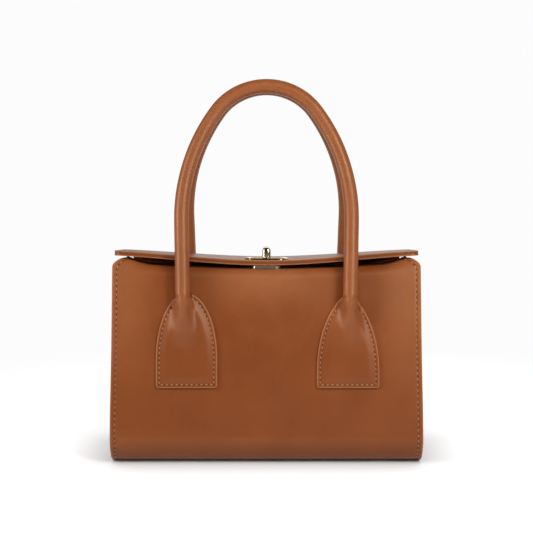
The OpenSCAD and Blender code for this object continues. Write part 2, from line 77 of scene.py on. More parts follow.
# Soft studio light: one tall box at each side, one over the front, one behind and a pale room
studio = {
    'rightBox': {'place': (480, -640, 540), 'aim': (0, -30, 180), 'size': (240, 600), 'power': 4.8},
    'leftBox': {'place': (-880, -420, 440), 'aim': (0, -30, 150), 'size': (300, 800), 'power': 6.2},
    'frontBox': {'place': (40, -520, 560), 'aim': (0, -40, 190), 'size': (520, 260), 'power': 1.25},
    'backBox': {'place': (200, 1000, 700), 'aim': (0, 0, 150), 'size': (900, 700), 'power': 2.9},
    'roomLight': 0.14,
    'backdrop': 0.975,
    'shinyBack': 0.36,
    'shinyFront': 0.06,
    'shinyTurn': (-0.3, 0.3),
    'shinyAbove': 0.3,
    'shinyRise': (0.15, 0.5),
    'floorTone': (0.6, 0.6, 0.6),
    'floorGlow': 0.7,
    'floorDim': (-0.9, -0.3),
    'paintedShadowReach': 56,
    'paintedShadowPower': 1.5,
    'floorSize': 9000,
    'fadeFrom': 320,
    'fadeTo': 620,
}


def addBox(name):
    box = studio[name]
    place = Vector(box['place']) * mm
    aim = Vector(box['aim']) * mm
    turn = (aim - place).to_track_quat('-Z', 'Y').to_euler()
    bpy.ops.object.light_add(type='AREA', location=place, rotation=turn)
    light = bpy.context.object
    light.name = name
    light.data.shape = 'RECTANGLE'
    light.data.size = box['size'][0] * mm
    light.data.size_y = box['size'][1] * mm
    light.data.energy = box['power']
    light.visible_camera = False
    light.visible_glossy = name != 'frontBox'


def feed(tree, socket, value):
    # links a socket to another node's output, or sets it to a number or a colour
    if isinstance(value, bpy.types.NodeSocket):
        tree.links.new(value, socket)
    else:
        socket.default_value = (*value, 1) if isinstance(value, tuple) else value


def addNode(tree, kind, inputs=None, **settings):
    node = tree.nodes.new('ShaderNode' + kind)
    for name, value in settings.items():
        setattr(node, name, value)
    for name, value in (inputs or {}).items():
        feed(tree, node.inputs[name], value)
    return node


def mathNode(tree, operation, *values):
    return addNode(tree, 'Math', dict(enumerate(values)), operation=operation).outputs[0]


def rangeNode(tree, value, low, high, fromLow=0.3, fromHigh=0.7, smooth=False):
    limits = {'Value': value, 'To Min': low, 'To Max': high, 'From Min': fromLow, 'From Max': fromHigh}
    kind = 'SMOOTHSTEP' if smooth else 'LINEAR'
    return addNode(tree, 'MapRange', limits, interpolation_type=kind).outputs[0]


def rayKinds(tree):
    # 1 for the camera's own rays, and 1 for mirrored or passed-on ones
    path = addNode(tree, 'LightPath').outputs
    shiny = mathNode(tree, 'MAXIMUM', path['Is Glossy Ray'], path['Is Transmission Ray'])
    return path['Is Camera Ray'], shiny


def addRoom():
    # the camera sees a white backdrop, metal sees it behind the bag and a dark room in front
    world = bpy.data.worlds.new('paleRoom')
    world.use_nodes = True
    bpy.context.scene.world = world
    tree = world.node_tree
    tree.nodes.clear()
    camera, shiny = rayKinds(tree)
    place = addNode(tree, 'TexCoord').outputs['Generated']
    apart = addNode(tree, 'SeparateXYZ', {0: place}).outputs
    front, back = studio['shinyFront'], studio['shinyBack']
    around = rangeNode(tree, apart['Y'], front, back, *studio['shinyTurn'], True)
    overhead = rangeNode(tree, apart['Z'], 1, studio['shinyAbove'], *studio['shinyRise'], True)
    lit = rangeNode(tree, shiny, studio['roomLight'], mathNode(tree, 'MULTIPLY', around, overhead), 0, 1)
    strength = rangeNode(tree, camera, lit, studio['backdrop'], 0, 1)
    background = addNode(tree, 'Background', {'Color': (1, 1, 1), 'Strength': strength})
    addNode(tree, 'OutputWorld', {'Surface': background.outputs[0]})


def newMaterial(name):
    material = bpy.data.materials.new(name)
    material.use_nodes = True
    tree = material.node_tree
    tree.nodes.clear()
    return material, tree, addNode(tree, 'TexCoord').outputs['Object']


def addFloor():
    # a white sweep: its diffuse part takes the lamps' shadows, its glow is dimmed near the bag as a painted
    # contact shadow, and further out it runs into the backdrop
    bpy.ops.mesh.primitive_plane_add(size=studio['floorSize'] * mm)
    floor = bpy.context.object
    floor.name = 'studioFloor'
    material, tree, place = newMaterial('paleFloor')
    camera, shiny = rayKinds(tree)
    apart = addNode(tree, 'SeparateXYZ', {0: place}).outputs
    inFront = rangeNode(tree, apart['Y'], studio['shinyFront'], 1, *studio['floorDim'], True)
    seen = mathNode(tree, 'MAXIMUM', camera, mathNode(tree, 'MULTIPLY', shiny, inFront))
    paint = addNode(tree, 'BsdfDiffuse', {'Color': studio['floorTone']})
    # painted shadow: the glow is dimmed where occlusion finds the bag close by
    contact = addNode(tree, 'AmbientOcclusion', {'Distance': studio['paintedShadowReach'] * mm})
    uncovered = mathNode(tree, 'POWER', contact.outputs['AO'], studio['paintedShadowPower'])
    lift = mathNode(tree, 'MULTIPLY', uncovered, studio['floorGlow'])
    glow = addNode(tree, 'Emission', {'Strength': mathNode(tree, 'MULTIPLY', seen, lift)})
    near = addNode(tree, 'AddShader', {0: paint.outputs[0], 1: glow.outputs[0]})
    distance = addNode(tree, 'VectorMath', {0: place}, operation='LENGTH').outputs['Value']
    fade = rangeNode(tree, distance, 0, 1, studio['fadeFrom'] * mm, studio['fadeTo'] * mm, True)
    sweep = addNode(tree, 'Emission', {'Strength': studio['backdrop']})
    away = mathNode(tree, 'MULTIPLY', fade, seen)
    both = addNode(tree, 'MixShader', {0: away, 1: near.outputs[0], 2: sweep.outputs[0]})
    addNode(tree, 'OutputMaterial', {'Surface': both.outputs[0]})
    floor.data.materials.append(material)


addCamera()
addRoom()
addFloor()
for name in ('rightBox', 'leftBox', 'frontBox', 'backBox'):
    addBox(name)
bpy.context.scene.view_settings.view_transform = 'Standard'
print('camera, lights and floor placed')


def newFinish(name):
    material, tree, place = newMaterial(name)
    shader = addNode(tree, 'BsdfPrincipled')
    addNode(tree, 'OutputMaterial', {'Surface': shader.outputs[0]})
    return material, tree, place, shader


def noiseNode(tree, place, scale, detail):
    inputs = {'Scale': scale, 'Detail': detail, 'Roughness': 0.55, 'Vector': place}
    return addNode(tree, 'TexNoise', inputs).outputs['Fac']


def mixTones(tree, factor, first, second):
    mix = addNode(tree, 'Mix', {'Factor': factor}, data_type='RGBA')
    colours = [socket for socket in mix.inputs if socket.type == 'RGBA']
    for socket, tone in zip(colours, (first, second)):
        feed(tree, socket, tone)
    return [socket for socket in mix.outputs if socket.type == 'RGBA'][0]


def shaded(tone, share):
    return tuple(value * share for value in tone)


def setSurface(tree, shader, surface, height, strength, depth):
    # feeds the shader's sockets and lays a relief over it, its depth in millimetres
    for name, value in surface.items():
        feed(tree, shader.inputs[name], value)
    relief = addNode(tree, 'Bump', {'Strength': strength, 'Distance': depth * mm, 'Height': height})
    feed(tree, shader.inputs['Normal'], relief.outputs[0])


def leatherFinish(name, light, deep, look):
    # smooth calf: cloudy dye, fine pebble grain with creased valleys, satin surface, with a painted highlight
    # and a painted shade laid over the colour
    material, tree, place, shader = newFinish(name)
    cloud = rangeNode(tree, noiseNode(tree, place, look['cloudScale'], 5), 0, 1)
    dyed = mixTones(tree, cloud, light, deep)
    grain = {'Scale': look['pebbleScale'], 'Vector': place}
    pebble = addNode(tree, 'TexVoronoi', grain, feature='DISTANCE_TO_EDGE')
    valley = rangeNode(tree, pebble.outputs['Distance'], 0, 1, 0, look['valleyWidth'])
    speck = rangeNode(tree, noiseNode(tree, place, look['speckScale'], 3), 0, 1)
    speck = mathNode(tree, 'MULTIPLY', speck, look['speckShare'])
    speckled = mixTones(tree, speck, dyed, shaded(light, look['speckDepth']))
    # painted highlight: a lighter tone, in patches, wherever a piece marks it
    rub = addNode(tree, 'Attribute', attribute_name='rub').outputs['Fac']
    patchy = rangeNode(tree, noiseNode(tree, place, look['highlightPatchScale'], 3), look['highlightPatchLow'], 1)
    highlighted = mixTones(tree, mathNode(tree, 'MULTIPLY', rub, patchy), speckled, look['highlightTone'])
    # painted shade: a dark tone wherever a piece marks a stitch furrow or an edge groove
    press = addNode(tree, 'Attribute', attribute_name='press').outputs['Fac']
    polish = noiseNode(tree, place, look['polishScale'], 3)
    creased = noiseNode(tree, place, look['creaseScale'], 4)
    height = mathNode(tree, 'MULTIPLY_ADD', valley, look['valleyShare'], creased)
    surface = {
        'Base Color': mixTones(tree, press, highlighted, look['pressTone']),
        'Roughness': rangeNode(tree, polish, look['roughLow'], look['roughHigh']),
        'Specular IOR Level': look['specular'],
        'Specular Tint': look['glossTone'],
    }
    setSurface(tree, shader, surface, height, look['bump'], look['bumpDepth'])
    return material


calf = {
    'cloudScale': 24.0,
    'pebbleScale': 1150.0,
    'valleyWidth': 0.22,
    'valleyShare': 0.5,
    'creaseScale': 900.0,
    'speckScale': 620.0,
    'speckDepth': 0.72,
    'speckShare': 0.42,
    # patch size and tone of the painted highlight
    'highlightPatchScale': 130.0,
    'highlightPatchLow': 0.75,
    'highlightTone': (0.6, 0.24, 0.095),
    # tone of the painted shade in furrows and grooves
    'pressTone': (0.085, 0.02, 0.006),
    'polishScale': 60.0,
    'roughLow': 0.35,
    'roughHigh': 0.45,
    'bump': 0.22,
    'bumpDepth': 0.1,
    'specular': 0.62,
    'glossTone': (1.0, 0.74, 0.53),
}
cognacLook = leatherFinish('cognacCalf', (0.245, 0.058, 0.011), (0.197, 0.0435, 0.0077), calf)
# painted light: the same calf set a little lighter than the front's to brighten the shaded base; the hinge
# and the side walls' rims use it too
baseLook = leatherFinish('lightenedBaseCalf', (0.25, 0.061, 0.0122), (0.2, 0.0455, 0.009), calf)


def paintFinish(name, tone, roughness, scale):
    # painted raw edge: smooth, a little uneven along its length
    material, tree, place, shader = newFinish(name)
    uneven = rangeNode(tree, noiseNode(tree, place, scale, 4), 0, 1)
    surface = {'Base Color': mixTones(tree, uneven, tone, shaded(tone, 0.6)), 'Roughness': roughness}
    setSurface(tree, shader, surface, noiseNode(tree, place, scale * 3, 3), strength=0.25, depth=0.1)
    return material


edgeLook = paintFinish('edgePaint', (0.075, 0.026, 0.012), 0.35, 260.0)
# painted shade: dark slots laid on the leather stand for the shade inside the needle holes
holeShadeLook = paintFinish('needleHoleShade', (0.05, 0.014, 0.006), 0.8, 900.0)


def threadFinish(name, tone):
    # waxed linen thread: fine twist across each stitch
    material, tree, place, shader = newFinish(name)
    wave = {'Scale': 1400.0, 'Distortion': 1.5, 'Vector': place}
    twist = addNode(tree, 'TexWave', wave, bands_direction='DIAGONAL').outputs['Fac']
    surface = {'Base Color': mixTones(tree, twist, tone, shaded(tone, 0.7)), 'Roughness': 0.5}
    setSurface(tree, shader, surface, twist, strength=0.4, depth=0.08)
    return material


threadLook = threadFinish('tanThread', (0.6, 0.26, 0.115))


def clothFinish(name, tone):
    # plain cotton twill: two crossed sets of threads with slubs
    material, tree, place, shader = newFinish(name)
    wave = {'Scale': 420.0, 'Distortion': 0.8, 'Vector': place}
    threads = [addNode(tree, 'TexWave', wave, bands_direction=way).outputs['Fac'] for way in ('X', 'Z')]
    slub = rangeNode(tree, noiseNode(tree, place, 180.0, 4), 0, 1)
    surface = {
        'Base Color': mixTones(tree, slub, tone, shaded(tone, 0.82)),
        'Roughness': 0.85,
        'Sheen Weight': 0.15,
    }
    setSurface(tree, shader, surface, mathNode(tree, 'ADD', *threads), strength=0.35, depth=0.1)
    return material


liningLook = clothFinish('sandCotton', (0.46, 0.34, 0.22))
boardLook = clothFinish('fibreBoard', (0.30, 0.25, 0.19))


def metalFinish(name, tone, roughness):
    # polished pale gold with faint buffing marks
    material, tree, place, shader = newFinish(name)
    buff = noiseNode(tree, place, 350.0, 3)
    surface = {
        'Base Color': mixTones(tree, buff, tone, shaded(tone, 0.93)),
        'Metallic': 1.0,
        'Roughness': rangeNode(tree, buff, roughness * 0.8, roughness * 1.3),
    }
    setSurface(tree, shader, surface, noiseNode(tree, place, 1200.0, 2), strength=0.04, depth=0.05)
    return material


goldLook = metalFinish('paleGold', (0.70, 0.58, 0.38), 0.14)
print('finishes mixed')


# Modelling helpers
def pick(*pieces):
    bpy.ops.object.select_all(action='DESELECT')
    for piece in pieces:
        piece.select_set(True)
    bpy.context.view_layer.objects.active = pieces[0]


def startEdit(piece):
    # opens a piece with all of it selected
    pick(piece)
    bpy.ops.object.mode_set(mode='EDIT')
    bpy.ops.mesh.select_all(action='SELECT')


def endEdit():
    bpy.ops.object.mode_set(mode='OBJECT')


def applyModifier(piece, kind, **values):
    pick(piece)
    modifier = piece.modifiers.new(kind.lower(), kind)
    for name, value in values.items():
        setattr(modifier, name, value)
    bpy.ops.object.modifier_apply(modifier=modifier.name)


mergeGap = 0.01
sliverGap = 0.005


def mergePoints(piece):
    startEdit(piece)
    bpy.ops.mesh.remove_doubles(threshold=mergeGap * mm)
    endEdit()


def closeUp(piece):
    # merges doubled points and turns all faces outwards
    startEdit(piece)
    bpy.ops.mesh.remove_doubles(threshold=mergeGap * mm)
    bpy.ops.mesh.dissolve_degenerate(threshold=sliverGap * mm)
    bpy.ops.mesh.normals_make_consistent(inside=False)
    endEdit()


def faceAwayFrom(piece, centre):
    centre = Vector(centre) * mm
    total = sum(face.normal.dot(face.center - centre) * face.area for face in piece.data.polygons)
    if total < 0:
        startEdit(piece)
        bpy.ops.mesh.flip_normals()
        endEdit()


def softShade(piece, angle=38):
    pick(piece)
    bpy.ops.object.shade_smooth_by_angle(angle=radians(angle))


def gridPiece(name, columns, rows, place, **marks):
    # a flat grid whose points are moved to place(column, row), in millimetres, with named marks on them
    bpy.ops.object.select_all(action='DESELECT')
    bpy.ops.mesh.primitive_grid_add(x_subdivisions=columns - 1, y_subdivisions=rows - 1, size=1)
    piece = bpy.context.object
    piece.name = name
    piece.data.name = name
    for point in piece.data.vertices:
        column = round((point.co.x + 0.5) * (columns - 1))
        row = round((point.co.y + 0.5) * (rows - 1))
        point.co = Vector(place(column, row)) * mm
        for mark, amount in marks.items():
            layer = piece.data.attributes.get(mark) or piece.data.attributes.new(mark, 'FLOAT', 'POINT')
            layer.data[point.index].value = amount(column, row)
    return piece


def dress(piece, *looks):
    for look in looks:
        piece.data.materials.append(look)


def dressNodes(look, *names):
    for name in names:
        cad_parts[name].data.materials.clear()
        dress(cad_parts[name], look)


def layUp(piece, centre, looks, thickness, offset=-1, bevel=0):
    # a sheet turned away from centre, in its looks and at its thickness; the second look is for its rim
    faceAwayFrom(piece, centre)
    dress(piece, *looks)
    rim = len(looks) - 1
    applyModifier(piece, 'SOLIDIFY', thickness=thickness * mm, offset=offset, material_offset_rim=rim)
    if bevel:
        sharp = radians(60)
        applyModifier(piece, 'BEVEL', width=bevel * mm, segments=2, limit_method='ANGLE', angle_limit=sharp)
    softShade(piece)


def finishPiece(piece, body, slot, *nodes):
    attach(piece, body)
    if nodes:
        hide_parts(*nodes)


def steps(start, end, count):
    return [start + (end - start) * index / count for index in range(count + 1)]


def stretches(start, *legs):
    # even steps over one stretch after another, each leg given as its end and its count
    values = [start]
    for end, count in legs:
        values += steps(start, end, count)[1:]
        start = end
    return values


def mirrored(half):
    # values from 0 up, with the same ones below 0 before them
    return [-value for value in reversed(half)] + half[1:]


def acrossShare(column, columns):
    # from -1 at the first column to 1 at the last
    return 2 * column / (columns - 1) - 1


def smoothStep(value):
    value = min(1.0, max(0.0, value))
    return value * value * (3 - 2 * value)


def mixed(first, second, share):
    return first + (second - first) * share


def bellAt(value, centre, spread):
    return exp(-((value - centre) / spread) ** 2)


# The bag's side outline, from the middle of the base up to the mouth
low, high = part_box('front_panel')
bag = {
    'halfWidth': high.x / mm,
    'railTop': high.z / mm,
    'halfDepth': 36.0,
    'baseRound': 22.0,
    'railRound': 9.0,
    'lean': radians(6.84),
    'leather': 1.6,
    'board': 1.8,
    'lining': 1.0,
    'margin': 5.0,
    'frontRail': 21.3,
    'rearRail': 6.3,
    'seamAngle': radians(58),
    'frontLift': 4.5,
    'rearLift': 2.6,
    'liftPower': 1.6,
    'tipLift': 5.4,
    'tipPower': 12,
    'cornerDraw': 12.0,
    'wallDraw': 11.0,
    'wallDrawRun': 22.0,
    'crownDepth': 1.3,
    'crownRun': 40.0,
    'flare': 1.0,
    'flareHeight': 28.0,
    'flareSpread': 48.0,
    'cornerHump': 3.4,
    'humpPower': 8,
    'humpEdge': 43.0,
    'humpRun': 18.0,
    'frontHump': 2.7,
    'frontHumpStart': 0.77,
    'frontHumpEnd': 0.91,
    'frontHumpRun': 9.0,
}
baseArc = bag['baseRound'] * (pi / 2 + bag['lean'])
railArc = bag['railRound'] * (pi / 2 - bag['lean'])
railCentreZ = bag['railTop'] - bag['railRound']
railCentreY = bag['halfDepth'] + (
    bag['baseRound'] - bag['railRound'] - (railCentreZ - bag['baseRound']) * sin(bag['lean'])
) / cos(bag['lean'])
faceRun = (bag['halfDepth'] - railCentreY) * sin(bag['lean'])
faceRun += (railCentreZ - bag['baseRound']) * cos(bag['lean'])
seamRun = bag['halfDepth'] + bag['baseRound'] * (pi / 2 - bag['seamAngle'])
faceStart = bag['halfDepth'] + baseArc
railStart = faceStart + faceRun
flatStart = railStart + railArc
wallX = bag['halfWidth'] - bag['margin']
shell = bag['leather'] + bag['board'] + bag['lining']


def railLift(x, depth):
    # how far the rails rise above the middle of the bag, most at the pulled-up corners
    share = min(1.0, abs(x) / bag['halfWidth'])
    toRear = smoothStep((depth + railCentreY) / (2 * railCentreY))
    fromEdge = bag['humpEdge'] - abs(depth)
    lift = mixed(bag['frontLift'], bag['rearLift'], toRear) * share ** bag['liftPower']
    lift += bag['tipLift'] * share ** bag['tipPower'] * (1 - toRear)
    lift += bag['cornerHump'] * share ** bag['humpPower'] * smoothStep(fromEdge / bag['humpRun'])
    climb = smoothStep((share - bag['frontHumpStart']) / (bag['frontHumpEnd'] - bag['frontHumpStart']))
    climb *= (1 - toRear) ** 2 * smoothStep(fromEdge / bag['frontHumpRun'])
    return lift + bag['frontHump'] * climb


def profileSpot(run, inset=0.0, lift=0.0):
    # depth and height at a distance along the outline, drawn in by inset, its rail raised by lift
    lean = bag['lean']
    if run <= bag['halfDepth']:
        return run, inset
    run -= bag['halfDepth']
    if run <= baseArc:
        angle = run / bag['baseRound'] - pi / 2
        reach = bag['baseRound'] - inset
        return bag['halfDepth'] + reach * cos(angle), bag['baseRound'] + reach * sin(angle)
    run -= baseArc
    if run <= faceRun:
        along = run / faceRun * (faceRun + lift)
        reach = bag['baseRound'] - inset
        depth = bag['halfDepth'] + reach * cos(lean) - along * sin(lean)
        return depth, bag['baseRound'] + reach * sin(lean) + along * cos(lean)
    run -= faceRun
    centreY = railCentreY - lift * sin(lean)
    centreZ = railCentreZ + lift * cos(lean)
    if run <= railArc:
        angle = lean + run / bag['railRound']
        reach = bag['railRound'] - inset
        return centreY + reach * cos(angle), centreZ + reach * sin(angle)
    run -= railArc
    return centreY - run, centreZ + bag['railRound'] - inset


def crowned(run):
    # the face curves back a little under its rail
    share = smoothStep((run - railStart + bag['crownRun']) / (2 * bag['crownRun'])) * 2
    return bag['crownDepth'] * min(1.0, share)


def flareAt(run):
    return bag['flare'] * bellAt(profileSpot(run)[1], bag['flareHeight'], bag['flareSpread'])


def edgeX(run):
    # half the panel's width: flared low down, turned in at the top corner
    turned = min(max(run - railStart, 0), railArc) / bag['railRound']
    return bag['halfWidth'] + flareAt(run) - bag['cornerDraw'] * (1 - cos(turned))


def wallAt(run):
    # the side wall starts to turn in further down the face
    turned = smoothStep((run - railStart + bag['wallDrawRun']) / (railArc + bag['wallDrawRun']))
    return wallX + flareAt(run) - bag['wallDraw'] * turned


# Leather panels: front, rear and base
panel = {
    'edgeInsets': [0, 0.45, 1.1, 1.9, 2.7, 3.3, 3.8, 4.3, 4.9, 5.8, 7.2, 9.5, 13, 18],
    'innerColumns': 56,
    'stitchInset': 3.8,
    'pressDepth': 0.3,
    'pressSpread': 0.55,
    'creaseInset': 1.4,
    'creaseDepth': 0.1,
    'creaseSpread': 0.35,
    'seamGap': 0.15,
    'unevenness': 0.22,
    'unevenScale': 55.0,
    'calmRun': 20.0,
    'sideSeed': 7.3,
    'turnDepth': 2.8,
    'edgeBevel': 0.4,
    # painted highlight along the edges, on the top middle and upper ends of the face and along the base seam;
    # painted shade along the stitch furrow
    'edgeHighlight': 0.5,
    'edgeHighlightAt': 0.5,
    'edgeHighlightSpread': 0.4,
    'topHighlight': 0.26,
    'topHighlightRun': 34.0,
    'topHighlightSpread': 50.0,
    'endHighlight': 0.2,
    'endHighlightFrom': 80.0,
    'endHighlightWidth': 35.0,
    'endHighlightDrop': 110.0,
    'endHighlightRun': 90.0,
    'seamHighlight': 0.5,
    'seamHighlightAt': 0.5,
    'seamHighlightSpread': 1.6,
    'stitchShadeAmount': 0.5,
    'stitchShadeSpread': 0.7,
}
panelColumns = 2 * len(panel['edgeInsets']) + panel['innerColumns'] - 1
bagMiddle = (0, 0, 70)


def acrossPlace(column, edge):
    # place across the width, and the distance from the nearer edge
    insets = panel['edgeInsets']
    count = len(insets)
    if column < count:
        return insets[column] - edge, insets[column]
    if column >= panelColumns - count:
        inset = insets[panelColumns - 1 - column]
        return edge - inset, inset
    share = (column - count + 1) / panel['innerColumns']
    x = (2 * share - 1) * (edge - insets[-1])
    return x, edge - abs(x)


def pressed(inset, piece):
    # depth of the stitch furrow and of the creased line near an edge
    stitch = piece['pressDepth'] * bellAt(inset, piece['stitchInset'], piece['pressSpread'])
    return stitch + piece['creaseDepth'] * bellAt(inset, piece['creaseInset'], piece['creaseSpread'])


def stitchShadeAt(inset, piece):
    # share of the painted shade along the stitch furrow
    return piece['stitchShadeAmount'] * bellAt(inset, piece['stitchInset'], piece['stitchShadeSpread'])


def edgeHighlightShare(inset):
    # share of the painted highlight just inside an edge
    return bellAt(inset, panel['edgeHighlightAt'], panel['edgeHighlightSpread'])


def uneven(x, run, side):
    scale = panel['unevenScale']
    calm = smoothStep((run - seamRun) / panel['calmRun']) * smoothStep((railStart - run) / panel['calmRun'])
    seed = side * panel['sideSeed']
    return panel['unevenness'] * calm * noise.noise(Vector((x / scale, run / scale, seed)))


def faceSpot(x, run, side, depth=0.0):
    # point on a leaning face, its rail or its rounded base; side is -1 in front and 1 behind
    lift = railLift(x, side * max(0, profileSpot(run, depth)[0]))
    across, height = profileSpot(run, depth, lift)
    return Vector((x, side * (across - crowned(run)), height))


def facePanel(name, node, side, railDepth):
    turn = bag['leather']
    flatEnd = flatStart + railDepth - turn
    legs = (seamRun + 3, 4), (faceStart, 14), (railStart, 30), (flatStart, 12), (flatEnd, 5)
    runs = stretches(seamRun + panel['seamGap'], *legs)
    turnLength = turn * pi / 2
    extras = stretches(0, (turnLength, 4), (turnLength + panel['turnDepth'], 2))[1:]

    def runAt(row):
        return runs[min(row, len(runs) - 1)]

    def place(column, row):
        run = runAt(row)
        x, inset = acrossPlace(column, edgeX(run))
        depth = pressed(inset, panel) - uneven(x, run, side)
        spot = faceSpot(x, run, side, depth)
        if row >= len(runs):
            extra = extras[row - len(runs)]
            angle = min(extra, turnLength) / turn
            spot.y -= side * turn * sin(angle)
            spot.z -= turn * (1 - cos(angle)) + max(0, extra - turnLength)
        return spot

    # painted highlight: lighter at the top middle and upper ends of the face, along the base seam and along
    # the edges
    def rub(column, row):
        run = runAt(row)
        x, inset = acrossPlace(column, edgeX(run))
        atTop = smoothStep((run - railStart + panel['topHighlightRun']) / panel['topHighlightRun'])
        atTop *= bellAt(x, 0, panel['topHighlightSpread'])
        atEnd = smoothStep((abs(x) - panel['endHighlightFrom']) / panel['endHighlightWidth'])
        atEnd *= smoothStep((run - railStart + panel['endHighlightDrop']) / panel['endHighlightRun'])
        atSeam = bellAt(run - seamRun, panel['seamHighlightAt'], panel['seamHighlightSpread'])
        highlighted = panel['topHighlight'] * atTop + panel['endHighlight'] * atEnd + panel['seamHighlight'] * atSeam
        return min(1.0, highlighted + panel['edgeHighlight'] * edgeHighlightShare(inset))

    # painted shade along the stitch furrow
    def press(column, row):
        return stitchShadeAt(acrossPlace(column, edgeX(runAt(row)))[1], panel)

    piece = gridPiece(name, panelColumns, len(runs) + len(extras), place, rub=rub, press=press)
    layUp(piece, bagMiddle, (cognacLook, edgeLook), bag['leather'], bevel=panel['edgeBevel'])
    finishPiece(piece, 'body', 'cognac_leather', node)


facePanel('frontPanel', 'front_panel', -1, bag['frontRail'])
facePanel('rearPanel', 'rear_panel', 1, bag['rearRail'])


def makeBasePanel():
    runs = mirrored(stretches(0, (bag['halfDepth'], 10), (seamRun - panel['seamGap'], 8)))

    def place(column, row):
        run = abs(runs[row])
        x, inset = acrossPlace(column, edgeX(run))
        across, height = profileSpot(run, pressed(inset, panel))
        return x, across if runs[row] > 0 else -across, height

    piece = gridPiece('basePanel', panelColumns, len(runs), place)
    layUp(piece, bagMiddle, (baseLook, edgeLook), bag['leather'], bevel=panel['edgeBevel'])
    finishPiece(piece, 'body', 'cognac_leather_dark', 'base_panel')


makeBasePanel()
print('panels cut and turned')


# Side walls with their sewn flanges
gusset = {
    'rings': 9,
    'liningRings': 8,
    'flangeColumns': 5,
    'edgeGap': 0.1,
    'leastFlange': 0.3,
    'centre': (0.0, 76.0),
    'bend': 1.0,
    'bendShare': 0.3,
    'hollow': 1.6,
    'hollowSpread': 1.3,
    'crownFade': 12.0,
    'spread': 1.1,
}
wallMiddle = (0, *gusset['centre'])


def outlineRuns():
    # runs of the whole closed outline: negative in front, positive behind
    top = flatStart + railCentreY
    legs = (bag['halfDepth'], 6), (faceStart, 16), (railStart, 24), (flatStart, 10), (top, 18)
    return mirrored(stretches(0, *legs))


def outlineSpot(run, inset, x):
    side = 1 if run > 0 else -1
    across = profileSpot(abs(run), inset)[0]
    across, height = profileSpot(abs(run), inset, railLift(x, side * max(0, across)))
    return side * (across - crowned(abs(run)) * smoothStep(across / gusset['crownFade'])), height


def wallSpot(run, inset, wall, middleX, share):
    # point of a side wall, between its edge (0) and its middle (1)
    depth, height = outlineSpot(run, inset, wall)
    x = mixed(wall, middleX, smoothStep(share * gusset['spread']))
    x -= gusset['hollow'] * smoothStep(share * gusset['hollowSpread'])
    return x, mixed(depth, gusset['centre'][0], share), mixed(height, gusset['centre'][1], share)


def sideWall(name, node, side):
    runs = outlineRuns()
    inset = 2 * bag['leather']
    bend = gusset['bend']
    bendStep = bend * gusset['bendShare']

    def place(column, row):
        run = runs[row]
        wall = wallAt(abs(run))
        edge = max(edgeX(abs(run)) - gusset['edgeGap'], wall + gusset['leastFlange'])
        flange = [(edge, inset), (mixed(wall, edge, 0.5), inset), (min(wall + bend, edge), inset)]
        flange += [(wall + bendStep, inset + bendStep), (wall, inset + bend)]
        if column < len(flange):
            x, drawn = flange[column]
            depth, height = outlineSpot(run, drawn, x)
        else:
            share = (column - len(flange) + 1) / gusset['rings']
            x, depth, height = wallSpot(run, inset + bend, wall, wallX, share)
        return side * x, depth, height

    piece = gridPiece(name, gusset['flangeColumns'] + gusset['rings'], len(runs), place)
    mergePoints(piece)
    layUp(piece, wallMiddle, (cognacLook, baseLook), bag['leather'])
    finishPiece(piece, 'body', 'cognac_leather', node)


sideWall('leftSideWall', 'left_gusset', -1)
sideWall('rightSideWall', 'right_gusset', 1)
print('side walls sewn in')


# Boards and linings
inside = {
    'slack': 0.05,
    'columns': 40,
    'pocketWidth': 150.0,
    'pocketLow': 25.4,
    'pocketHeight': 86.0,
    'pocketThickness': 0.9,
    'pocketSag': 2.0,
    'pocketHem': 8.0,
    'pocketHemRise': 0.35,
    'pocketHemRun': 1.5,
    'pocketGap': 0.02,
}
insideX = wallX - bag['leather'] - bag['lining'] - inside['slack']
liningInset = bag['leather'] + bag['board']


def layerPiece(name, side, start, end, inset, thickness, halfWidth, look):
    marks = [mark for mark in (faceStart, railStart, flatStart) if start < mark < end] + [end]
    runs = stretches(start, *[(mark, 12) for mark in marks])

    def place(column, row):
        run = runs[row]
        narrow = min(halfWidth, wallAt(run) - bag['leather'] - bag['lining'])
        return faceSpot(acrossShare(column, inside['columns']) * narrow, run, side, inset)

    piece = gridPiece(name, inside['columns'], len(runs), place)
    layUp(piece, bagMiddle, (look,), thickness)
    return piece, [2 * halfWidth * mm, (end - start) * mm]


def clothPiece(name, node, side, start, end):
    piece, flat = layerPiece(name, side, start, end, liningInset, bag['lining'], insideX, liningLook)
    finishPiece(piece, 'body', 'lining_cloth', node)


frontMouthRun = flatStart + bag['frontRail'] - bag['leather']
rearMouthRun = flatStart + bag['rearRail'] - bag['leather']
clothPiece('frontLining', 'front_lining', -1, seamRun, frontMouthRun)
clothPiece('rearLining', 'rear_lining', 1, seamRun, rearMouthRun)
railBoard = layerPiece(
    'railBoard', -1, flatStart - 1, frontMouthRun, bag['leather'], bag['board'], insideX, boardLook,
)[0]
finishPiece(railBoard, 'body', 'fibre_board', 'front_rail_board')


def makeBaseLining():
    runs = mirrored(stretches(0, (bag['halfDepth'], 8), (seamRun, 8)))

    def place(column, row):
        across, height = profileSpot(abs(runs[row]), liningInset)
        x = acrossShare(column, inside['columns']) * insideX
        return x, across if runs[row] > 0 else -across, height

    piece = gridPiece('baseLining', inside['columns'], len(runs), place)
    layUp(piece, bagMiddle, (liningLook,), bag['lining'])
    finishPiece(piece, 'body', 'lining_cloth', 'base_lining')


makeBaseLining()


def sideLining(name, node, side):
    runs = outlineRuns()

    def place(column, row):
        wall = wallAt(abs(runs[row])) - bag['leather']
        share = column / gusset['liningRings']
        x, depth, height = wallSpot(runs[row], liningInset, wall, wallX - bag['leather'], share)
        return side * x, depth, height

    piece = gridPiece(name, gusset['liningRings'] + 1, len(runs), place)
    mergePoints(piece)
    layUp(piece, wallMiddle, (liningLook,), bag['lining'])
    finishPiece(piece, 'body', 'lining_cloth', node)


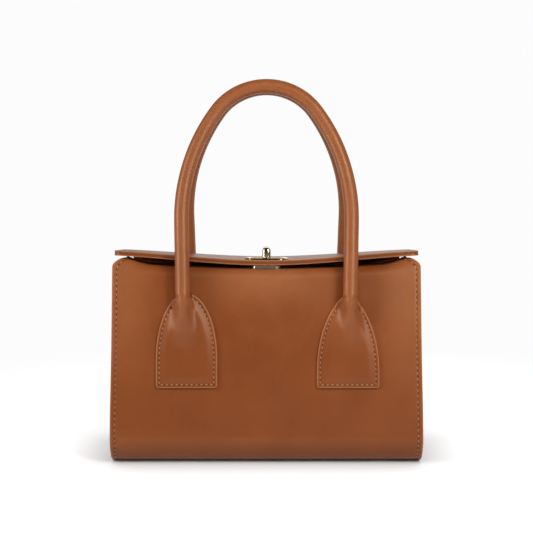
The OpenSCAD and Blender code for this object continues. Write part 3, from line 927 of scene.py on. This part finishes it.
sideLining('leftLining', 'left_lining', -1)
sideLining('rightLining', 'right_lining', 1)


def makePocket():
    # slip pocket: its mouth stands a little open, with a turned hem
    half = inside['pocketWidth'] / 2
    heights = steps(0, inside['pocketHeight'], 22)
    columns = 34
    lowRun = seamRun + (inside['pocketLow'] - profileSpot(seamRun)[1])
    hemStart = inside['pocketHeight'] - inside['pocketHem']

    def place(column, row):
        across = acrossShare(column, columns)
        rise = heights[row] / inside['pocketHeight']
        gap = inside['pocketSag'] * rise ** 3 * (1 - across ** 4) + inside['pocketGap']
        hem = inside['pocketHemRise'] * smoothStep((heights[row] - hemStart) / inside['pocketHemRun'])
        return faceSpot(across * half, lowRun + heights[row], 1, shell + gap + hem)

    piece = gridPiece('slipPocket', columns, len(heights), place)
    layUp(piece, (0, 200, 70), (liningLook,), inside['pocketThickness'], offset=1)
    finishPiece(piece, 'body', 'lining_cloth', 'slip_pocket')


makePocket()
dressNodes(boardLook, 'front_board', 'rear_board', 'base_board')
print('linings and pocket laid in')

# Handles: one leather piece each, rolled above the fold line and flattened into its two sewn tabs
handle = {
    'legSpan': 137.6,
    'height': 173.8,
    'legLength': 65.4,
    'shoulderBend': 150.0,
    'splay': radians(1.5),
    'lean': radians(12),
    'roll': 5.9,
    'foldDrop': 21.0,
    'standOff': 8.4,
    'sideCount': 47,
    'swellLength': 48.0,
    'swellSpread': 14.0,
    'swellWiden': 0.8,
    'swellMelt': 2.2,
    'bellFrom': 1.0,
    'bellRun': 12.0,
    'liftFrom': 2.5,
    'liftRun': 4.0,
    'sewnRun': 1.2,
    # painted highlight: the rolled handle is laid lighter than the face to brighten it, fading out down the
    # tabs
    'handleHighlight': 0.18,
    'rollWave': 0.012,
    'rollWaveScale': 22.0,
    'blendBelow': 2.5,
    'blendLength': 13.0,
}
tab = {
    'height': 76.0,
    'crownRise': 2.0,
    'shift': 2.8,
    'corner': 2.5,
    'thickness': 1.9,
    'stitchInset': 2.7,
    'pressDepth': 0.42,
    'pressSpread': 0.6,
    'creaseInset': 1.15,
    'creaseDepth': 0.14,
    'creaseSpread': 0.3,
    'lipDepth': 0.3,
    'lipRun': 0.45,
    'pillow': 1.5,
    'pillowRun': 6.5,
    'pillowLow': 0.35,
    'pillowRise': 45.0,
    'clearSide': 1.0,
    'clearRun': 2.5,
    'clearBelow': 9.0,
    # painted highlight along the tab's edge, painted shade along its stitch furrow
    'edgeHighlight': 0.55,
    'stitchShadeAmount': 0.6,
    'stitchShadeSpread': 0.7,
}
halfSpan = handle['legSpan'] / 2
shoulderX = halfSpan - handle['shoulderBend']
archRise = handle['height'] - handle['legLength']
crownBend = handle['shoulderBend'] ** 2 - archRise ** 2 - shoulderX ** 2
crownBend /= 2 * (handle['shoulderBend'] - archRise)
crownV = handle['height'] - crownBend
shoulderAngle = atan2(crownV - handle['legLength'], -shoulderX)
legTopX = shoulderX + handle['shoulderBend'] * cos(handle['splay'])
legTopV = handle['legLength'] - handle['shoulderBend'] * sin(handle['splay'])
legX = legTopX - legTopV * sin(handle['splay']) / cos(handle['splay'])
tabX = legX - tab['shift']
foldZ = bag['railTop'] - handle['foldDrop']
faceUp = Vector((0, sin(bag['lean']), cos(bag['lean'])))
faceOut = Vector((0, -cos(bag['lean']), sin(bag['lean'])))
handleUp = Vector((0, sin(handle['lean']), cos(handle['lean'])))
handleOut = Vector((0, -cos(handle['lean']), sin(handle['lean'])))
foldFoot = faceSpot(0, faceStart, -1)
foldFoot = foldFoot + faceUp * ((foldZ - foldFoot.z) / cos(bag['lean']))
seatDrop = handle['standOff'] * sin(bag['lean']) / cos(bag['lean'])
pivot = foldFoot - faceUp * seatDrop + faceOut * handle['standOff']
tabLow = tab['crownRise'] - tab['height']
foldRun = faceStart + (foldZ - faceSpot(0, faceStart, -1).z) / cos(bag['lean'])

# The two tabs differ a little in the photo: the right one sits further out and is more pointed
flaps = {
    'left': {'centre': tabX, 'halfWidth': 24.7, 'straight': 24.0, 'bulge': 2.0, 'ease': 0.5},
    'right': {'centre': tabX + 1.3, 'halfWidth': 25.2, 'straight': 8.0, 'bulge': 2.4, 'ease': 0.75},
}


def archShare(v, flap):
    # how far up the arched part of the tab, 1 at its crown
    return (v - tabLow - flap['straight']) / (tab['height'] - flap['straight'])


def tabHalf(v, flap):
    # half the tab's width at a height in the face plane, 0 above its crown
    share = archShare(v, flap)
    if share >= 1:
        return 0.0
    if share > 0:
        return flap['halfWidth'] * (1 - share ** flap['bulge']) ** flap['ease']
    over, corner = v - tabLow, tab['corner']
    if over < corner:
        return flap['halfWidth'] - corner + sqrt(max(0, corner ** 2 - (corner - over) ** 2))
    return flap['halfWidth']


def tabInset(x, v, flap):
    # distance from a point of the tab to its outline
    half = tabHalf(v, flap)
    share = min(0.995, archShare(v, flap))
    slope = 0.0
    if share > 0:
        bulge, ease = flap['bulge'], flap['ease']
        slope = flap['halfWidth'] * ease * bulge * share ** (bulge - 1) * (1 - share ** bulge) ** (ease - 1)
        slope /= tab['height'] - flap['straight']
    side = (half - abs(x - flap['centre'])) / sqrt(1 + slope ** 2)
    return max(0.0, min(side, v - tabLow))


def seatAt(v):
    # the crowned face falls away under the upper part of the tab
    return -crowned(foldRun + min(v, 0)) * cos(bag['lean'])


def swellHeight(x, q):
    # bulge of the roll as it dies out into the tab
    share = min(1.0, max(0.0, -q) / handle['swellLength'])
    height = (handle['standOff'] + handle['roll'] - tab['thickness']) * (1 - smoothStep(share))
    spread = handle['roll'] + handle['swellSpread'] * share ** handle['swellWiden']
    place = abs(x - legX) / spread
    if place >= 1:
        return 0.0
    bell = 0.5 * (1 + cos(pi * place))
    flattened = smoothStep((-q - handle['bellFrom']) / handle['bellRun'])
    return height * mixed(sqrt(1 - place ** 2), bell, flattened)


def melted(first, second):
    # the higher of the two, with the crease between them filled
    melt = max(0.001, min(handle['swellMelt'], 2 * min(first, second)))
    near = max(0, melt - abs(first - second)) / melt
    return max(first, second) + near ** 2 * melt / 4


def besideRoll(x, v):
    # 0 where the roll still covers the tab, 1 on the sewn leather
    beside = smoothStep((abs(x - legX) - handle['roll'] + tab['clearSide']) / tab['clearRun'])
    return max(beside, smoothStep(-v / tab['clearBelow'] - 1))


def tabSurface(x, v, flap):
    # height of the sewn leather over the face
    inset = tabInset(x, v, flap)
    tooled = tab['lipDepth'] * max(0, 1 - inset / tab['lipRun']) ** 2 + pressed(inset, tab)
    height = tab['thickness'] - tooled * besideRoll(x, v)
    pillow = tab['pillow'] * smoothStep((inset - tab['stitchInset'] - 0.2) / tab['pillowRun'])
    pillow *= mixed(tab['pillowLow'], 1, smoothStep((v - tabLow) / tab['pillowRise']))
    swell = swellHeight(x, v + seatDrop)
    return height + melted(pillow, swell) + seatAt(v) * (1 - smoothStep(swell / handle['roll']))


def ringSides():
    # round the roll: how far to the side each point is, and whether it is on the outer half
    count = handle['sideCount']
    for index in range(2 * count):
        step = min(index, 2 * count - 1 - index)
        yield sin(pi * (step / (count - 1) - 0.5)), index < count


def tabRing(q, flap):
    # one ring of the leather below the fold line, as places in and out of the face plane, with its painted
    # highlight and painted shade
    v = q - seatDrop
    roll = handle['roll']
    half = tabHalf(v, flap)
    lowX = min(legX - roll, flap['centre'] - half)
    highX = max(legX + roll, flap['centre'] + half)
    lifting = smoothStep((handle['liftFrom'] - q) / handle['liftRun'])
    ring = []
    for side, outer in ringSides():
        x = mixed(lowX, highX, 0.5 + 0.5 * side)
        chord = sqrt(max(0, roll ** 2 - (x - legX) ** 2))
        sewnShare = lifting
        if half > 0:
            sewnShare = max(lifting, smoothStep((abs(x - legX) - roll) / handle['sewnRun'] + 0.5))
        rub = handle['handleHighlight'] * (1 - smoothStep(max(0, -q) / handle['swellLength']))
        press = 0.0
        if outer:
            sewn = tabSurface(x, v, flap) if half > 0 else tab['thickness'] + swellHeight(x, q)
            out = mixed(chord, sewn - handle['standOff'], sewnShare)
            if half > 0:
                inset = tabInset(x, v, flap)
                marked = sewnShare * besideRoll(x, v)
                rub += tab['edgeHighlight'] * edgeHighlightShare(inset) * marked
                press = stitchShadeAt(inset, tab) * marked
        else:
            out = mixed(-chord, seatAt(v) - handle['standOff'], sewnShare)
        ring.append((Vector((x, 0, 0)) + pivot + faceUp * q + faceOut * out, rub, press))
    return ring


def rollRing(x, v, turn):
    scale = handle['rollWaveScale']
    reach = handle['roll'] * (1 + handle['rollWave'] * noise.noise(Vector((x / scale, v / scale, turn))))
    ring = []
    for side, outer in ringSides():
        out = sqrt(1 - side ** 2) * (1 if outer else -1)
        spot = Vector((x + reach * side * cos(turn), 0, 0)) + pivot
        spot += handleUp * (v + reach * side * sin(turn)) + handleOut * (reach * out)
        # the roll carries the painted highlight and no painted shade
        ring.append((spot, handle['handleHighlight'], 0.0))
    return ring


def halfHandle(flap):
    # rings from the tab's lower edge up to the crown, as if on the right-hand side
    edges = [0, 0.2, 0.5, 0.9, 1.3, 1.8, 2.3, 2.7, 3.1, 3.7, 4.6]
    sewn = [tabLow + edge for edge in edges] + stretches(tabLow + 6, (-12, 34), (1.5, 22))
    rings = [tabRing(v + seatDrop, flap) for v in sewn if v + seatDrop < handle['liftFrom']]
    closing = []
    for spot, rub, press in rings[0]:
        out = (spot - pivot).dot(faceOut)
        closing.append((spot + faceOut * (0.5 * tab['thickness'] - handle['standOff'] - out), rub, press))
    rings.insert(0, closing)
    legRun = legTopV / cos(handle['splay'])
    splay, bend = handle['splay'], handle['shoulderBend']
    for distance in steps(3.2, legRun, 20):
        rings.append(rollRing(legX + distance * sin(splay), distance * cos(splay), -splay))
    for turn in steps(-splay, shoulderAngle, 26)[1:]:
        rings.append(rollRing(shoulderX + bend * cos(turn), handle['legLength'] + bend * sin(turn), turn))
    for turn in steps(shoulderAngle, pi / 2, 22)[1:]:
        rings.append(rollRing(crownBend * cos(turn), crownV + crownBend * sin(turn), turn))
    return rings


halves = {name: halfHandle(flap) for name, flap in flaps.items()}


def makeHandle(name, side, body, *nodes):
    reach = len(halves['right'])
    rows = 2 * reach - 1
    columns = 2 * handle['sideCount'] + 1

    def entry(column, row):
        ring = halves['right'][row] if row < reach else halves['left'][rows - 1 - row]
        return ring[column % (2 * handle['sideCount'])]

    def place(column, row):
        spot = entry(column, row)[0]
        return (spot.x if row < reach else -spot.x), spot.y * -side, spot.z

    # painted highlight and painted shade, taken from the rings
    def rub(column, row):
        return entry(column, row)[1]

    def press(column, row):
        return entry(column, row)[2]

    piece = gridPiece(name, columns, rows, place, rub=rub, press=press)
    closeUp(piece)
    dress(piece, cognacLook)
    softShade(piece, 50)
    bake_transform(piece)
    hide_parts(*nodes)


makeHandle('frontHandle', -1, 'front_handle', 'front_handle_sleeve', 'front_left_tab', 'front_right_tab')
makeHandle('rearHandle', 1, 'rear_handle', 'rear_handle_sleeve', 'rear_left_tab', 'rear_right_tab')
dressNodes(boardLook, 'front_handle_core', 'rear_handle_core')
print('handles rolled')

# Lid: leather turned over a board, cotton underneath, sagging between its ends
lid = {
    'pivotY': 35.7274,
    'pivotZ': 159.4,
    'reach': 73.4547,
    'tilt': radians(1.9),
    'halfWidth': 124.0,
    'corner': 6.0,
    'thickness': 4.2,
    'frontSag': 8.1,
    'rearSag': 6.0,
    'sagSquare': 2.3,
    'sagCube': 1.3,
    'leather': 1.3,
    'hem': 7.0,
    'edgeGroove': 0.3,
    'lining': 1.05,
    'board': 1.6,
    # painted highlight along the lid's top and bottom arrises, painted shade in its edge groove
    'edgeHighlight': 0.6,
    'edgeHighlightAt': 0.3,
    'edgeHighlightSpread': 0.5,
    'edgeHighlightBand': 0.7,
    'grooveShade': 0.6,
    'grooveBand': 1.2,
}
halfThick = lid['thickness'] / 2
lidOut = Vector((0, sin(lid['tilt']), cos(lid['tilt'])))
lidAlong = Vector((0, -cos(lid['tilt']), sin(lid['tilt'])))
lidPivot = Vector((0, lid['pivotY'], lid['pivotZ']))


def lidLift(x, reach):
    # how far the lid rises above its middle, towards its ends
    share = min(1.0, abs(x) / lid['halfWidth'])
    sag = mixed(lid['rearSag'], lid['frontSag'], reach / lid['reach'])
    return (lid['sagSquare'] * share ** 2 - lid['sagCube'] * share ** 3) * sag


def lidSpot(x, reach, out):
    return lidPivot + Vector((x, 0, lidLift(x, reach))) + lidAlong * reach + lidOut * out


def lidLoop():
    # the lid seen from above as one closed line, starting at its left hinge end
    half, reach, corner = lid['halfWidth'], lid['reach'], lid['corner']
    acrossSteps = steps(corner - half, half - corner, 70)
    arcs = steps(0, pi / 2, 8)
    loop = [(-half, along) for along in steps(0, reach - corner, 16)]
    loop += [(corner - half - corner * cos(a), reach - corner + corner * sin(a)) for a in arcs[1:]]
    loop += [(x, reach) for x in acrossSteps[1:]]
    loop += [(half - corner + corner * sin(a), reach - corner + corner * cos(a)) for a in arcs[1:]]
    loop += [(half, along) for along in steps(reach - corner, 0, 16)[1:]]
    loop += [(x, 0) for x in steps(half, -half, 74)[1:]]
    return loop


def movedIn(spot, inset):
    # a point of the lid's outline, moved in from the edge
    x, along = spot
    half, reach, corner = lid['halfWidth'], lid['reach'], lid['corner']
    centreX, centreAlong = half - corner, reach - corner
    if abs(x) > centreX and along > centreAlong and inset < corner:
        away = Vector((abs(x) - centreX, along - centreAlong)).normalized() * (corner - inset)
        return (1 if x > 0 else -1) * (centreX + away.x), centreAlong + away.y
    return max(inset - half, min(half - inset, x)), max(min(inset, reach / 2), min(reach - inset, along))


def lidPiece(name, slot, node, rings, look, thickness=0, rubbed=0.0, awayFrom=None):
    # a layer of the lid, swept round its outline through the rings and cut open for the lock
    loop = lidLoop()

    # painted highlight along the arrises
    def rub(column, row):
        inset, out = rings[row]
        if abs(out) <= halfThick - lid['edgeHighlightBand']:
            return 0
        return rubbed * bellAt(inset, lid['edgeHighlightAt'], lid['edgeHighlightSpread'])

    # painted shade in the edge groove
    def press(column, row):
        inset, out = rings[row]
        inGroove = inset <= lid['edgeGroove'] and abs(out) < lid['grooveBand']
        return lid['grooveShade'] * rubbed if inGroove else 0

    def place(column, row):
        inset, out = rings[row]
        x, along = movedIn(loop[column], inset)
        return lidSpot(x, along, out)

    piece = gridPiece(name, len(loop), len(rings), place, rub=rub, press=press)
    closeUp(piece)
    if awayFrom:
        faceAwayFrom(piece, awayFrom)
    dress(piece, look)
    if thickness:
        applyModifier(piece, 'SOLIDIFY', thickness=thickness * mm, offset=-1)
    applyModifier(piece, 'BOOLEAN', object=cutter, operation='DIFFERENCE', solver='EXACT')
    softShade(piece, 35)
    finishPiece(piece, 'lid', slot, node)
    return piece


def slotSpot(share, offset):
    # place on the lock slot's round-ended outline, at a share of its length, moved out by offset
    radius = lock['slotWidth'] / 2
    straight = lock['slotLength'] - lock['slotWidth']
    total = 2 * straight + 2 * pi * radius
    distance = share % 1 * total
    if distance < straight:
        return distance - straight / 2, -radius - offset
    distance -= straight
    if distance < pi * radius:
        angle = distance / radius - pi / 2
        return straight / 2 + (radius + offset) * cos(angle), (radius + offset) * sin(angle)
    distance -= pi * radius
    if distance < straight:
        return straight / 2 - distance, radius + offset
    angle = (distance - straight) / radius + pi / 2
    return -straight / 2 + (radius + offset) * cos(angle), (radius + offset) * sin(angle)


lock = {
    'reach': 60.488,
    'width': 18.0,
    'height': 1.7,
    'slotLength': 28.0,
    'slotWidth': 9.5,
    'slotSlack': 0.4,
}


def slotCutter():
    columns, rows = 65, 2

    def place(column, row):
        x, along = slotSpot(column / (columns - 1), lock['slotSlack'])
        return lidSpot(x, lock['reach'] + along, 12 * (row - 0.5))

    cutter = gridPiece('slotCutter', columns, rows, place)
    closeUp(cutter)
    startEdit(cutter)
    bpy.ops.mesh.fill_holes(sides=0)
    bpy.ops.mesh.normals_make_consistent(inside=False)
    endEdit()
    return cutter





edgeRings = [
    (lid['hem'], -halfThick),
    (lid['hem'] / 2, -halfThick),
    (1.2, -halfThick),
    (0.5, -halfThick + 0.03),
    (0.12, -halfThick + 0.25),
    (0.0, -halfThick + 0.6),
    (lid['edgeGroove'] * 0.6, -halfThick + 1.1),
    (lid['edgeGroove'], -0.5),
    (lid['edgeGroove'], 0.5),
    (lid['edgeGroove'] * 0.6, halfThick - 1.1),
    (0.0, halfThick - 0.6),
    (0.12, halfThick - 0.25),
    (0.5, halfThick - 0.03),
    (1.2, halfThick - 0.05),
    (2.0, halfThick - 0.12),
    (2.8, halfThick - 0.02),
]
edgeRings += [(inset, halfThick) for inset in steps(5, lid['reach'] / 2, 9)]
cutter = slotCutter()
lidPiece('lidLeather', 'cognac_leather', 'lid_leather', edgeRings, cognacLook, lid['leather'], lid['edgeHighlight'])
boardTop = halfThick - lid['leather'] - 0.05
boardRings = [(lid['reach'] / 2, boardTop - lid['board'])]
boardRings += [(inset, boardTop - lid['board']) for inset in (20, 6, 1.8)]
boardRings += [(inset, boardTop) for inset in (1.8, 6, 20, lid['reach'] / 2)]
lidPiece('lidBoard', 'fibre_board', 'lid_board', boardRings, boardLook)
liningRings = [(inset, -halfThick + 0.02) for inset in (lid['hem'] + 0.05, 12, 22, lid['reach'] / 2)]
lidLining = lidPiece(
    'lidLining', 'lining_cloth', 'lid_lining', liningRings, liningLook, lid['lining'], awayFrom=(0, 0, 400),
)
bpy.data.objects.remove(cutter)
print('lid turned over its board')

# Leather hinge along the rear, from the rail over the bead on to the lid
hinge = {
    'halfWidth': 116.0,
    'turnRadius': 1.15,
    'thickness': 0.9,
    'downFace': 9.0,
    'tuck': 0.6,
    'bevel': 0.25,
}


def hingePath():
    # depth, height and whether the point lifts with the rail (0) or with the lid (1)
    path = []
    for run in steps(railStart - hinge['downFace'], railStart + 5, 6):
        across, height = profileSpot(run, -0.05)
        path.append((across - crowned(run), height, 0.0))
    for angle in steps(radians(-35), radians(92), 9):
        reach = hinge['turnRadius']
        path.append((lid['pivotY'] + reach * cos(angle), lid['pivotZ'] + reach * sin(angle), 1.0))
    path.append((lid['pivotY'] - hinge['tuck'], lid['pivotZ'] + hinge['turnRadius'] - 0.2, 1.0))
    return path


def makeHinge():
    path = hingePath()
    columns = 61

    def place(column, row):
        x = acrossShare(column, columns) * hinge['halfWidth']
        across, height, share = path[row]
        lift = mixed(railLift(x, across), lidLift(x, 0), share)
        return x, across, height + lift

    piece = gridPiece('hingeLeather', columns, len(path), place)
    layUp(piece, (0, 0, 120), (baseLook,), hinge['thickness'], offset=1, bevel=hinge['bevel'])
    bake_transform(piece)
    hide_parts('hinge_strip')


makeHinge()
print('hinge leather laid')


# Turn lock
def makeEscutcheon():
    # domed ring round the slot, rolled down into it
    outer = (lock['width'] - lock['slotWidth']) / 2
    columns = 97
    rim = [(outer, -0.2), (outer, 0.45), (outer - 0.25, 0.8), (outer - 0.9, 1.25)]
    rim += [(outer - 2.0, lock['height']), (1.5, lock['height']), (0.7, 1.4), (0.2, 1.0), (0.0, 0.5)]
    rim += [(0.0, -3.4), (0.35, -3.4), (0.35, -0.2), (outer, -0.2)]

    def place(column, row):
        offset, out = rim[row]
        x, along = slotSpot(column / (columns - 1), offset)
        return lidSpot(x, lock['reach'] + along, halfThick + out)

    piece = gridPiece('escutcheonRing', columns, len(rim), place)
    closeUp(piece)
    applyModifier(piece, 'SUBSURF', levels=1, render_levels=1)
    dress(piece, goldLook)
    softShade(piece, 60)
    finishPiece(piece, 'lid', 'pale_gold', 'escutcheon')


makeEscutcheon()
toggle = {
    'length': 13.0,
    'width': 6.8,
    'height': 8.0,
    'base': 165.904,
    'lockY': -24.7274,
    'spindle': 2.5,
    'spindleLow': 150.6,
    'round': 3.1,
    'spindleRound': 0.3,
    'sink': 0.6,
}


def makeToggle():
    # rounded bar on its spindle
    bpy.ops.object.select_all(action='DESELECT')
    middle = (0, toggle['lockY'] * mm, (toggle['base'] + toggle['height'] / 2) * mm)
    bpy.ops.mesh.primitive_cube_add(size=1, location=middle)
    bar = bpy.context.object
    bar.name = 'turnToggle'
    startEdit(bar)
    bpy.ops.transform.resize(value=(toggle['width'] * mm, toggle['length'] * mm, toggle['height'] * mm))
    endEdit()
    bpy.ops.object.transform_apply(location=True, rotation=True, scale=True)
    weights = bar.data.attributes.new('bevel_weight_edge', 'FLOAT', 'EDGE')
    for edge in bar.data.edges:
        ends = [bar.data.vertices[index].co for index in edge.vertices]
        atTop = min(end.z for end in ends) > middle[2]
        atFoot = max(end.z for end in ends) < middle[2]
        weights.data[edge.index].value = 1.0 if atTop else 0.2 if atFoot else 0.85
    applyModifier(
        bar, 'BEVEL', width=toggle['round'] * mm, segments=9, limit_method='WEIGHT', use_clamp_overlap=True,
    )
    spindleHeight = toggle['base'] + toggle['sink'] - toggle['spindleLow']
    spindleZ = toggle['spindleLow'] + spindleHeight / 2
    bpy.ops.mesh.primitive_cylinder_add(
        vertices=48, radius=toggle['spindle'] * mm, depth=spindleHeight * mm,
        location=(0, toggle['lockY'] * mm, spindleZ * mm),
    )
    spindle = bpy.context.object
    startEdit(spindle)
    bpy.ops.mesh.bevel(offset=toggle['spindleRound'] * mm, segments=2)
    endEdit()
    bpy.ops.object.transform_apply(location=True, rotation=True, scale=True)
    pick(bar, spindle)
    bpy.ops.object.join()
    bar = bpy.context.object
    dress(bar, goldLook)
    softShade(bar, 40)
    finishPiece(bar, 'turn_knob', 'pale_gold', 'turn_toggle')


makeToggle()
dressNodes(goldLook, 'lock_base', 'lock_backing_plate', 'retaining_washer')
dressNodes(goldLook, 'escutcheon_back_plate', 'escutcheon_rivets')
print('turn lock fitted')

# Stitching
sewing = {
    'pitch': 4.25,
    'tabPitch': 4.0,
    'thread': (2.3, 0.82, 0.6),
    'slot': (2.1, 1.1, 0.24),
    'threadSlant': radians(16),
    'slotSlant': radians(34),
    'threadSink': 0.05,
    'slotSink': -0.01,
    'sideStart': 3.0,
    'sideEnd': 2.0,
    'rollReach': -16.0,
    'rollGap': 1.6,
}


def smallShape(name, size, look):
    bpy.ops.object.select_all(action='DESELECT')
    bpy.ops.mesh.primitive_uv_sphere_add(segments=8, ring_count=5, radius=0.5)
    shape = bpy.context.object
    shape.name = name
    startEdit(shape)
    bpy.ops.transform.resize(value=[value * mm for value in size])
    endEdit()
    bpy.ops.object.shade_smooth()
    shape.data.materials.append(look)
    return shape


def copyAlong(name, shape, spots, sink, slant, shift):
    copies = []
    for spot, along, out in spots:
        side = out.cross(along).normalized()
        turn = Matrix((along, side, out)).transposed().to_4x4() @ Matrix.Rotation(slant, 4, 'Z')
        place = Matrix.Translation((spot + along * shift - out * sink) * mm)
        copy = shape.copy()
        copy.data = shape.data.copy()
        copy.data.transform(place @ turn)
        bpy.context.collection.objects.link(copy)
        copies.append(copy)
    bpy.data.objects.remove(shape)
    pick(*copies)
    bpy.ops.object.join()
    piece = bpy.context.object
    piece.name = name
    piece.data.name = name
    return piece


def sew(name, spots, pitch):
    # a row of slanted stitches, and between them dark slots that paint the shade inside the needle holes
    thread = smallShape(name + 'One', sewing['thread'], threadLook)
    row = copyAlong(name, thread, spots, sewing['threadSink'], sewing['threadSlant'], 0)
    finishPiece(row, 'body', 'cognac_leather')
    hole = smallShape(name + 'Hole', sewing['slot'], holeShadeLook)
    holes = copyAlong(name + 'Holes', hole, spots, sewing['slotSink'], sewing['slotSlant'], pitch / 2)
    finishPiece(holes, 'body', 'cognac_leather_dark')


def sideSpots(side, edge, start, end):
    # stitch places down one sewn edge of a face
    count = round((end - start) / sewing['pitch'])
    spots = []
    for run in steps(start, end, count):
        here = edge * (edgeX(run) - panel['stitchInset'])
        there = edge * (edgeX(run + 0.5) - panel['stitchInset'])
        spot = faceSpot(here, run, side, panel['pressDepth'])
        ahead = faceSpot(there, run + 0.5, side, panel['pressDepth'])
        along = (ahead - spot).normalized()
        out = Vector((1, 0, 0)).cross(along).normalized()
        if out.dot(Vector((0, side, 0.2))) < 0:
            out = -out
        spots.append((spot, along, out))
    return spots


seamSpots = []
for side in (-1, 1):
    for edge in (-1, 1):
        seamSpots += sideSpots(side, edge, seamRun + sewing['sideStart'], flatStart - sewing['sideEnd'])
sew('sideSeamStitches', seamSpots, sewing['pitch'])


def tabSpots(side, mirror, flap):
    # stitch places round one tab, along its outline moved in
    inset = tab['stitchInset']
    half = flap['halfWidth'] - inset
    rise = tab['height'] - flap['straight']
    arch = []
    for angle in steps(0, pi / 2, 60):
        v = tabLow + flap['straight'] + rise * sin(angle)
        arch.append(Vector((tabHalf(v, flap), v)))
    moved = [Vector((half, arch[0].y))]
    for before, here, after in zip(arch, arch[1:], arch[2:]):
        along = (after - before).normalized()
        spot = here + Vector((-along.y, along.x)) * inset
        if spot.x > 0 and spot.y > moved[-1].y:
            moved.append(spot)
    moved.append(Vector((0, moved[-1].y + 0.2)))
    line = [Vector((x, tabLow + inset)) for x in steps(-half, half, 40)]
    line += [Vector((half, v)) for v in steps(tabLow + inset, arch[0].y, 20)[1:-1]]
    line += moved + [Vector((-spot.x, spot.y)) for spot in reversed(moved[:-1])]
    line += [Vector((-half, v)) for v in steps(arch[0].y, tabLow + inset, 20)[1:]]
    lengths = [0.0]
    for first, second in zip(line, line[1:]):
        lengths.append(lengths[-1] + (second - first).length)
    count = round(lengths[-1] / sewing['tabPitch'])
    spots = []
    index = 0
    for distance in steps(0, lengths[-1], count)[:-1]:
        distance += lengths[-1] / count / 2
        while lengths[index + 1] < distance:
            index += 1
        share = (distance - lengths[index]) / (lengths[index + 1] - lengths[index])
        flat = line[index].lerp(line[index + 1], share)
        direction = (line[index + 1] - line[index]).normalized()
        x = flap['centre'] + flat.x
        if flat.y > sewing['rollReach'] and abs(x - legX) < handle['roll'] + sewing['rollGap']:
            continue
        spot = Vector((x, 0, 0)) + foldFoot + faceUp * flat.y + faceOut * tabSurface(x, flat.y, flap)
        along = (Vector((direction.x, 0, 0)) + faceUp * direction.y).normalized()
        out = faceOut.copy()
        for vector in (spot, along, out):
            vector.x *= mirror
            vector.y *= -side
        if mirror * side > 0:
            along = -along
        spots.append((spot, along, out))
    return spots


for side, sideName in ((-1, 'front'), (1, 'rear')):
    spots = tabSpots(side, 1, flaps['right']) + tabSpots(side, -1, flaps['left'])
    sew(sideName + 'TabStitches', spots, sewing['tabPitch'])
print('stitches sewn')
